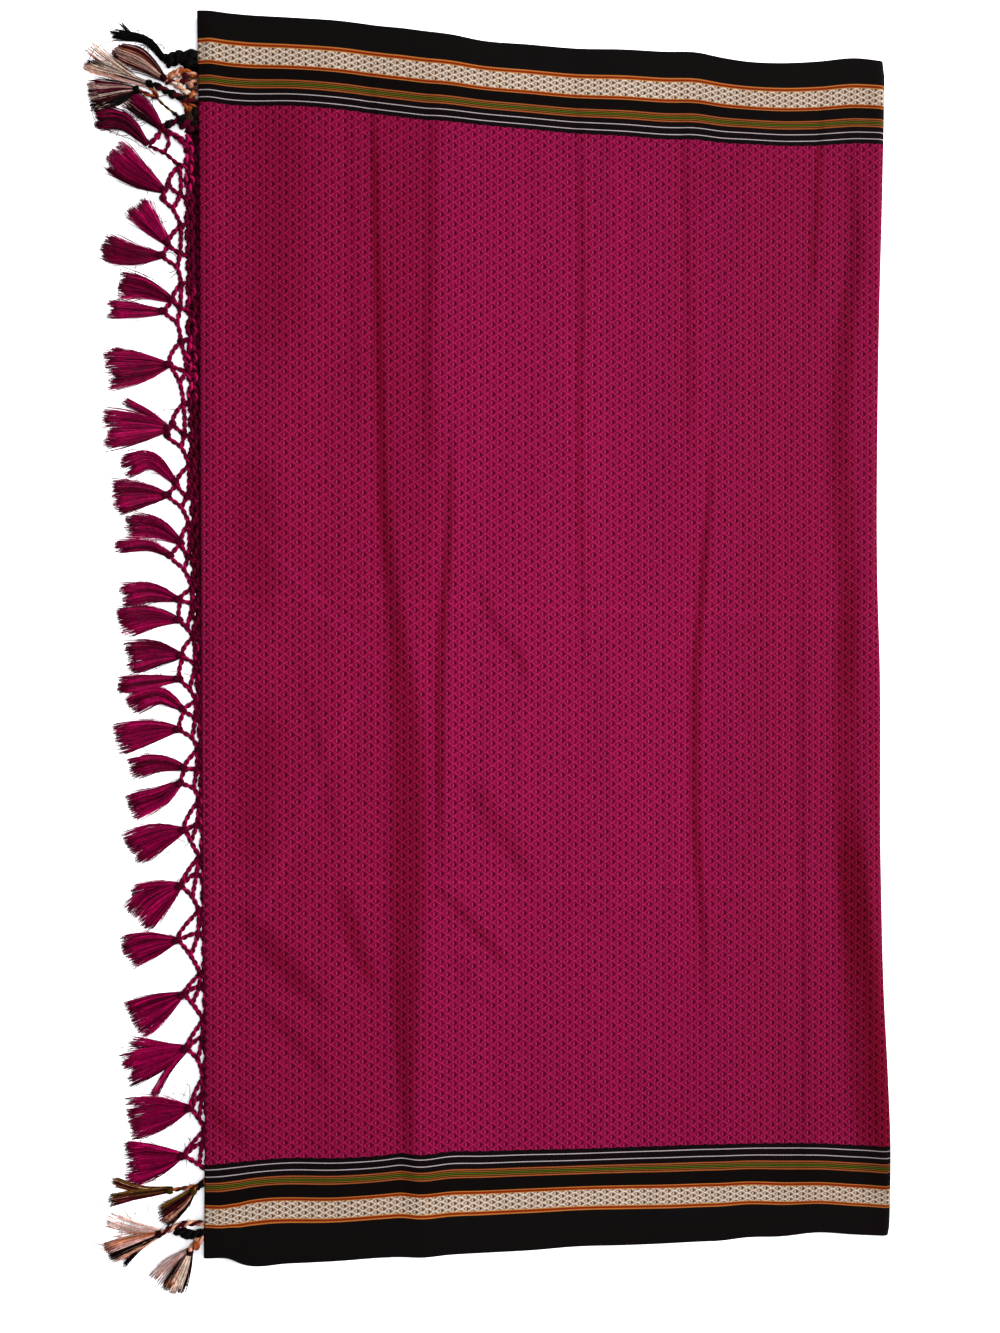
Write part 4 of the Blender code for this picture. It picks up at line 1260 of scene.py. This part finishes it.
BINDING = {"out": 1.2, "height": 2.3, "size": 1.05, "light": 0.3}

# Tassels, tied on beyond a net knot
# knot, middle of the tassel, tip, width of the tip, kind
TASSELS = (
    (-246, 435, -259, 448, -283, 451, 4, "black"),
    (-245, 420, -262, 432, -280, 440, 17, "peach"),
    (-255, 416, -278, 422, -299, 430, 6, "mixed"),
    (-264, 412, -282, 409, -298, 407, 20, "mixed"),
    (-258, 372, -274, 387, -293, 389, 13, "plum"),
    (-248, 384, -259, 396, -272, 406, 13, "plum"),
    (-245, 338, -264, 349, -282, 364, 20, "magenta"),
    (-243, 299, -255, 313, -266, 327, 15, "magenta"),
    (-247, 291, -267, 291, -288, 297, 16, "magenta"),
    (-240, 258, -258, 266, -276, 269, 15, "magenta"),
    (-246, 250, -264, 250, -284, 252, 10, "magenta"),
    (-242, 211, -262, 209, -286, 208, 24, "magenta"),
    (-242, 164, -264, 164, -287, 163, 22, "magenta"),
    (-237, 123, -254, 139, -274, 134, 12, "magenta"),
    (-243, 115, -262, 115, -281, 113, 20, "magenta"),
    (-234, 80, -251, 90, -272, 92, 15, "magenta"),
    (-241, 70, -256, 77, -279, 76, 7, "magenta"),
    (-235, 38, -254, 43, -275, 40, 13, "magenta"),
    (-235, 23, -255, 25, -276, 21, 17, "magenta"),
    (-233, -3, -251, -2, -271, -5, 20, "magenta"),
    (-235, -20, -255, -22, -277, -25, 9, "magenta"),
    (-232, -43, -249, -33, -270, -40, 13, "magenta"),
    (-235, -57, -255, -59, -278, -65, 18, "magenta"),
    (-231, -86, -248, -82, -269, -86, 12, "magenta"),
    (-234, -96, -248, -106, -269, -114, 15, "magenta"),
    (-231, -131, -249, -136, -269, -145, 21, "magenta"),
    (-234, -172, -249, -181, -265, -195, 23, "magenta"),
    (-236, -212, -253, -215, -273, -221, 21, "magenta"),
    (-232, -252, -250, -261, -267, -270, 24, "magenta"),
    (-230, -292, -250, -299, -272, -306, 20, "magenta"),
    (-227, -336, -247, -339, -269, -343, 27, "magenta"),
    (-232, -371, -252, -374, -272, -376, 28, "magenta"),
    (-240, -396, -261, -395, -281, -388, 3, "olive"),
    (-224, -396, -234, -406, -248, -417, 12, "olive"),
    (-248, -427, -265, -433, -285, -440, 13, "peach"),
    (-227, -440, -233, -455, -240, -470, 13, "peach"),
)

# Locks that part from a tassel, each tied in at its knot
# tassel, knot, middle, tip, width of the tip, kind, share of a whole tassel's threads
LOCKS = (
    (1, -260, 448, -269, 452, -278, 462, 1.5, "black", 0.05),
    (3, -262, 419, -288, 424, -302, 428, 4, "cream", 0.12),
    (3, -266, 420, -284, 431, -299, 443, 8, "cream", 0.06),
    (13, -243, 164, -256, 174, -276, 184, 4, "magenta", 0.20),
    (27, -234, -172, -250, -172, -268, -176, 8, "magenta", 0.30),
    (30, -230, -292, -248, -290, -268, -287, 5, "magenta", 0.20),
    (30, -231, -294, -243, -308, -253, -326, 4, "magenta", 0.15),
    (33, -241, -396, -262, -398, -284, -402, 5, "olive", 0.25),
    (35, -248, -427, -261, -436, -275, -449, 2, "black", 0.15),
    (35, -249, -426, -270, -422, -287, -415, 10, "pink", 0.08),
    (36, -228, -440, -241, -449, -253, -461, 9, "pink", 0.10),
)

# kind: colours of its clumps, in the order they lie across it
CLUMP_DYES = {
    "black": ("black", "black", "black"),
    "peach": ("maroon", "peach", "pink", "black", "peach", "cream", "maroon", "peach", "black"),
    "mixed": ("black", "pink", "plum", "cream", "black", "pink", "maroon", "black"),
    "plum": ("magenta", "plum", "magenta", "black", "plum", "magenta"),
    "magenta": ("magenta", "bright", "magenta", "plum", "magenta", "bright", "magenta"),
    "olive": ("olive", "brown", "maroon", "plum", "orange", "peach"),
    "cream": ("cream", "peach"),
    "pink": ("pink", "cream", "pink"),
}
# tassel: its own colours, from its left to its right, looking out from the knot
TASSEL_DYES = {
    2: ("black", "maroon", "orange", "peach", "pink", "cream", "peach", "pink", "maroon", "black"),
    3: ("cream", "black", "plum", "black", "pink"),
    4: ("black", "plum", "cream", "pink", "plum", "black", "cream", "maroon", "black", "maroon"),
    5: ("magenta", "plum", "magenta", "black", "plum", "black", "magenta", "plum"),
    6: ("magenta", "plum", "magenta", "magenta", "plum", "black", "cream", "black"),
    34: ("olive", "black", "maroon", "plum", "maroon", "peach", "orange", "black"),
    35: ("peach", "orange", "pink", "maroon", "black", "black", "maroon", "peach"),
    36: ("black", "maroon", "orange", "cream", "peach", "cream", "maroon", "black"),
}
# tassel: share by which its tip draws in again
CLOSED_TIPS = {2: 0.45, 6: 0.2}
MIXED_IN = 0.16
THREAD_TINTS = (0.5, 1.5)
CLUMP_TINTS = (0.7, 1.3)
# Painted light along each thread: painted shade at its root by the knot and a painted highlight
# towards its tip share of a thread's length, brightness
THREAD_LIGHT = ((0.0, 0.9), (0.7, 1.1), (1.0, 1.75))


def lie_of(row):
    """Head, middle and tip of a tassel or lock, the width of its tip, and its direction."""
    knot, middle, tip = (np.array(row[at:at + 2], float) for at in (0, 2, 4))
    middle = knot + (middle - knot) * LENGTHEN
    tip = knot + (tip - knot) * LENGTHEN
    out = (middle - knot) / np.linalg.norm(middle - knot)
    return knot + out * HEAD_REACH, middle, tip, row[6] * WIDEN, out


def middle_line(head, middle, tip, share):
    """Points at shares of a tassel's length, down its middle, and the direction across it."""
    line = np.array([(0.0, *head), (MIDDLE_SHARE, *middle), (1.0, *tip)])
    inside = np.clip(share, 0.0, 1.0)
    after = np.clip(share + SLOPE_STEP, 0.0, 1.0)
    before = np.clip(share - SLOPE_STEP, 0.0, 1.0)
    last = (tip - middle) / np.linalg.norm(tip - middle)
    beyond = np.clip(share - 1.0, 0.0, None) * np.linalg.norm(tip - head)
    points, slope = [], []
    for axis in (1, 2):
        points.append(curve_through(line, inside, axis) + last[axis - 1] * beyond)
        slope.append(curve_through(line, after, axis) - curve_through(line, before, axis))
    size = np.hypot(*slope)
    return points, (-slope[1] / size, slope[0] / size)


def thread_heights(share, width, level, place_in, stray):
    """Heights of the threads: the hank is round, thickest near its head and flat at its tip."""
    tall = np.interp(share, (0.0, 0.3, 1.0), (HEAD_TALL, BELLY_TALL, TIP_TALL))
    tall = tall * min(1.0, 0.5 + width / 30.0) - 2.0 * THREAD_RADIUS
    round_over = np.sqrt(np.clip(1.0 - (0.8 * place_in) ** 2, 0.2, 1.0))
    height = FLOOR_GAP + THREAD_RADIUS + tall * (level * round_over)[:, None]
    return np.where(stray[:, None], height * (1.0 - 0.5 * share) + 0.3 * share, height)


def thread_tints(draw, names, clump, clumps):
    """Colours of the threads along their length: those of their clumps, a few mixed in, with
    painted shade at the root and a painted highlight at the tip.
    """
    count = len(clump)
    mixed = draw.random(count) < MIXED_IN
    own = np.where(mixed, draw.integers(0, 99, count), clump)
    tint = np.array([dyes[names[number % len(names)]] for number in own])
    tint = tint * draw.uniform(*THREAD_TINTS, (count, 1))
    tint = tint * draw.uniform(*CLUMP_TINTS, clumps)[clump][:, None]
    light = np.interp(np.linspace(0.0, 1.0, THREAD_POINTS), *zip(*THREAD_LIGHT))
    return tint[:, None, :] * light[None, :, None]


def tassel_threads(row, seed, names, whole=1.0):
    """The threads of one tassel or lock, gathered in clumps."""
    draw = np.random.default_rng(seed)
    head, middle, tip, width, out = lie_of(row)
    clumps = max(3, round(width / CLUMP_PITCH) + 2)
    full = min(1.0, 0.35 + width / 34.0) if whole == 1.0 else 1.0
    count = round(THREADS_IN_TASSEL * whole * full)
    clump = np.sort(draw.integers(0, clumps, count))
    place_in = (clump + 0.5) / clumps * 2.0 - 1.0
    clump_low = draw.uniform(-1.0, 1.0, clumps)[clump]
    clump_long = draw.uniform(*CLUMP_LENGTHS, clumps)[clump]
    clump_bend = draw.uniform(-1.0, 1.0, clumps)[clump][:, None]
    own = draw.normal(0.0, 1.0, count)
    own_up = draw.uniform(-1.0, 1.0, count)
    stray = draw.random(count) < STRAY_SHARE
    reach = 1.0 + clump_long - FRAY * draw.exponential(1.0, count)
    reach = np.clip(reach + draw.normal(0.0, 0.5 * FRAY, count), *REACH_LIMITS)
    reach = np.where(stray, reach + draw.uniform(*STRAY_LENGTHS, count), reach)
    share = np.linspace(0.0, 1.0, THREAD_POINTS)[None, :] * reach[:, None]
    points, across = middle_line(head, middle, tip, share)

    # Places across the tassel: each clump has its own, and each thread keeps near its clump
    opened = 1.0 - (1.0 - np.clip(share, 0.0, 1.0)) ** SPREAD_POWER
    spread = HEAD_WIDTH + (width - HEAD_WIDTH) * opened
    spread = spread * (1.0 - CLOSED_TIPS.get(seed, 0.0) * smooth((share - 0.5) / 0.5))
    gathered = 1.0 - CLUMP_GATHER * np.clip(share - 0.25, 0.0, 1.0)
    offset = 0.5 * spread * place_in[:, None] * gathered
    offset += 0.5 * spread / clumps * own[:, None] * (1.0 + 0.2 * share + 0.6 * share ** 4)
    wander = np.sin(3.0 * share + 6.0 * clump_bend)
    offset += CLUMP_WANDER * width * share * clump_bend * wander
    offset += THREAD_RIPPLE * np.sin(7.0 * share + 9.0 * own_up[:, None]) * share
    away = draw.normal(0.0, 1.0, count) * np.where(stray, STRAY_SPREAD, 0.0) * width
    offset += away[:, None] * share ** STRAY_POWER

    level = 0.5 + 0.5 * np.clip(0.6 * clump_low + 0.6 * own_up, -1.0, 1.0)
    height = thread_heights(share, width, level, place_in, stray)
    x, y = (points[axis] + across[axis] * offset for axis in (0, 1))
    tint = thread_tints(draw, names, clump, clumps)
    thin = np.where(stray, STRAY_THICKNESS, 1.0)[:, None]
    thin = thin * np.linspace(1.0, TIP_THICKNESS, THREAD_POINTS)[None, :]
    return np.stack([x, y, height], axis=-1), THREAD_RADIUS * thin, tint, head, out


# A tassel's random draws start from its number, and a lock's from the place of its knot
for number, row in enumerate(TASSELS, start=1):
    tassel = Threads()
    names = TASSEL_DYES.get(number, CLUMP_DYES[row[7]])
    lines, radius, tint, head, out = tassel_threads(row, number, names)
    tassel.add(lines, radius, THREAD_SIDES, tint)
    for lock in LOCKS:
        if lock[0] == number:
            names = CLUMP_DYES[lock[8]]
            lines, radius, tint, _, _ = tassel_threads(lock[1:9], round(-lock[1]), names, lock[9])
            tassel.add(lines, radius, THREAD_SIDES, tint)
    # The binding is its thread's colour drawn darker, as painted shade in the knot
    binding = dyes[CLUMP_DYES[row[7]][0]] * BINDING["light"]
    bound_at = (*(head + out * BINDING["out"]), FLOOR_GAP + BINDING["height"])
    wound_knot(tassel, bound_at, out, binding, BINDING["size"])
    piece = tassel.make(f"floss_tassel_{number:02d}", mercerised)
    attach(piece, "root")
    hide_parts(f"tassel_{number:02d}")

# Loose ends: single fibres of the same thread that worked out of the tassels and lie on the
# sheet round them, most of them by the corners. Fine, springy and mostly dark.
LOOSE_COUNT = 120
LOOSE_RADIUS = 0.2
LOOSE_POINTS = 14
LOOSE_SPREAD = 6.0
LOOSE_LENGTHS = (16.0, 46.0)
LOOSE_CURL = 0.16
LOOSE_KINK = 0.09
LOOSE_RIGHT_END = -228.0
CORNER_TASSELS = 6
loose = Threads()
draw = np.random.default_rng(5)
for number in range(LOOSE_COUNT):
    # Every other one lies by one of the first or last tassels
    near = (number * 5) % (2 * CORNER_TASSELS) - CORNER_TASSELS
    row = TASSELS[draw.integers(0, len(TASSELS)) if number % 2 else near]
    at = np.array(row[2:4], float) + draw.normal(0.0, LOOSE_SPREAD, 2)
    heading = draw.uniform(0.0, 2.0 * math.pi)
    bend = draw.normal(0.0, LOOSE_CURL)
    move = draw.uniform(*LOOSE_LENGTHS) / LOOSE_POINTS
    line = np.zeros((LOOSE_POINTS, 3))
    for step in range(LOOSE_POINTS):
        line[step] = (*at, FLOOR_GAP + 0.2 + 0.5 * math.sin(step * 0.7) ** 2)
        heading += bend + draw.normal(0.0, LOOSE_KINK)
        at = at + move * np.array([math.cos(heading), math.sin(heading)])
        at[0] = min(at[0], LOOSE_RIGHT_END)
    shade = dyes["black"] * 2.0 if draw.random() < 0.75 else dyes["bright"]
    if row[7] in ("peach", "mixed"):
        shade = dyes["peach"] if draw.random() < 0.5 else dyes["maroon"]
    loose.add(line[None], np.full((1, LOOSE_POINTS), LOOSE_RADIUS), THREAD_SIDES, [shade])
loose_ends = loose.make("loose_fibres", mercerised)
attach(loose_ends, "root")

bpy.context.view_layer.update()
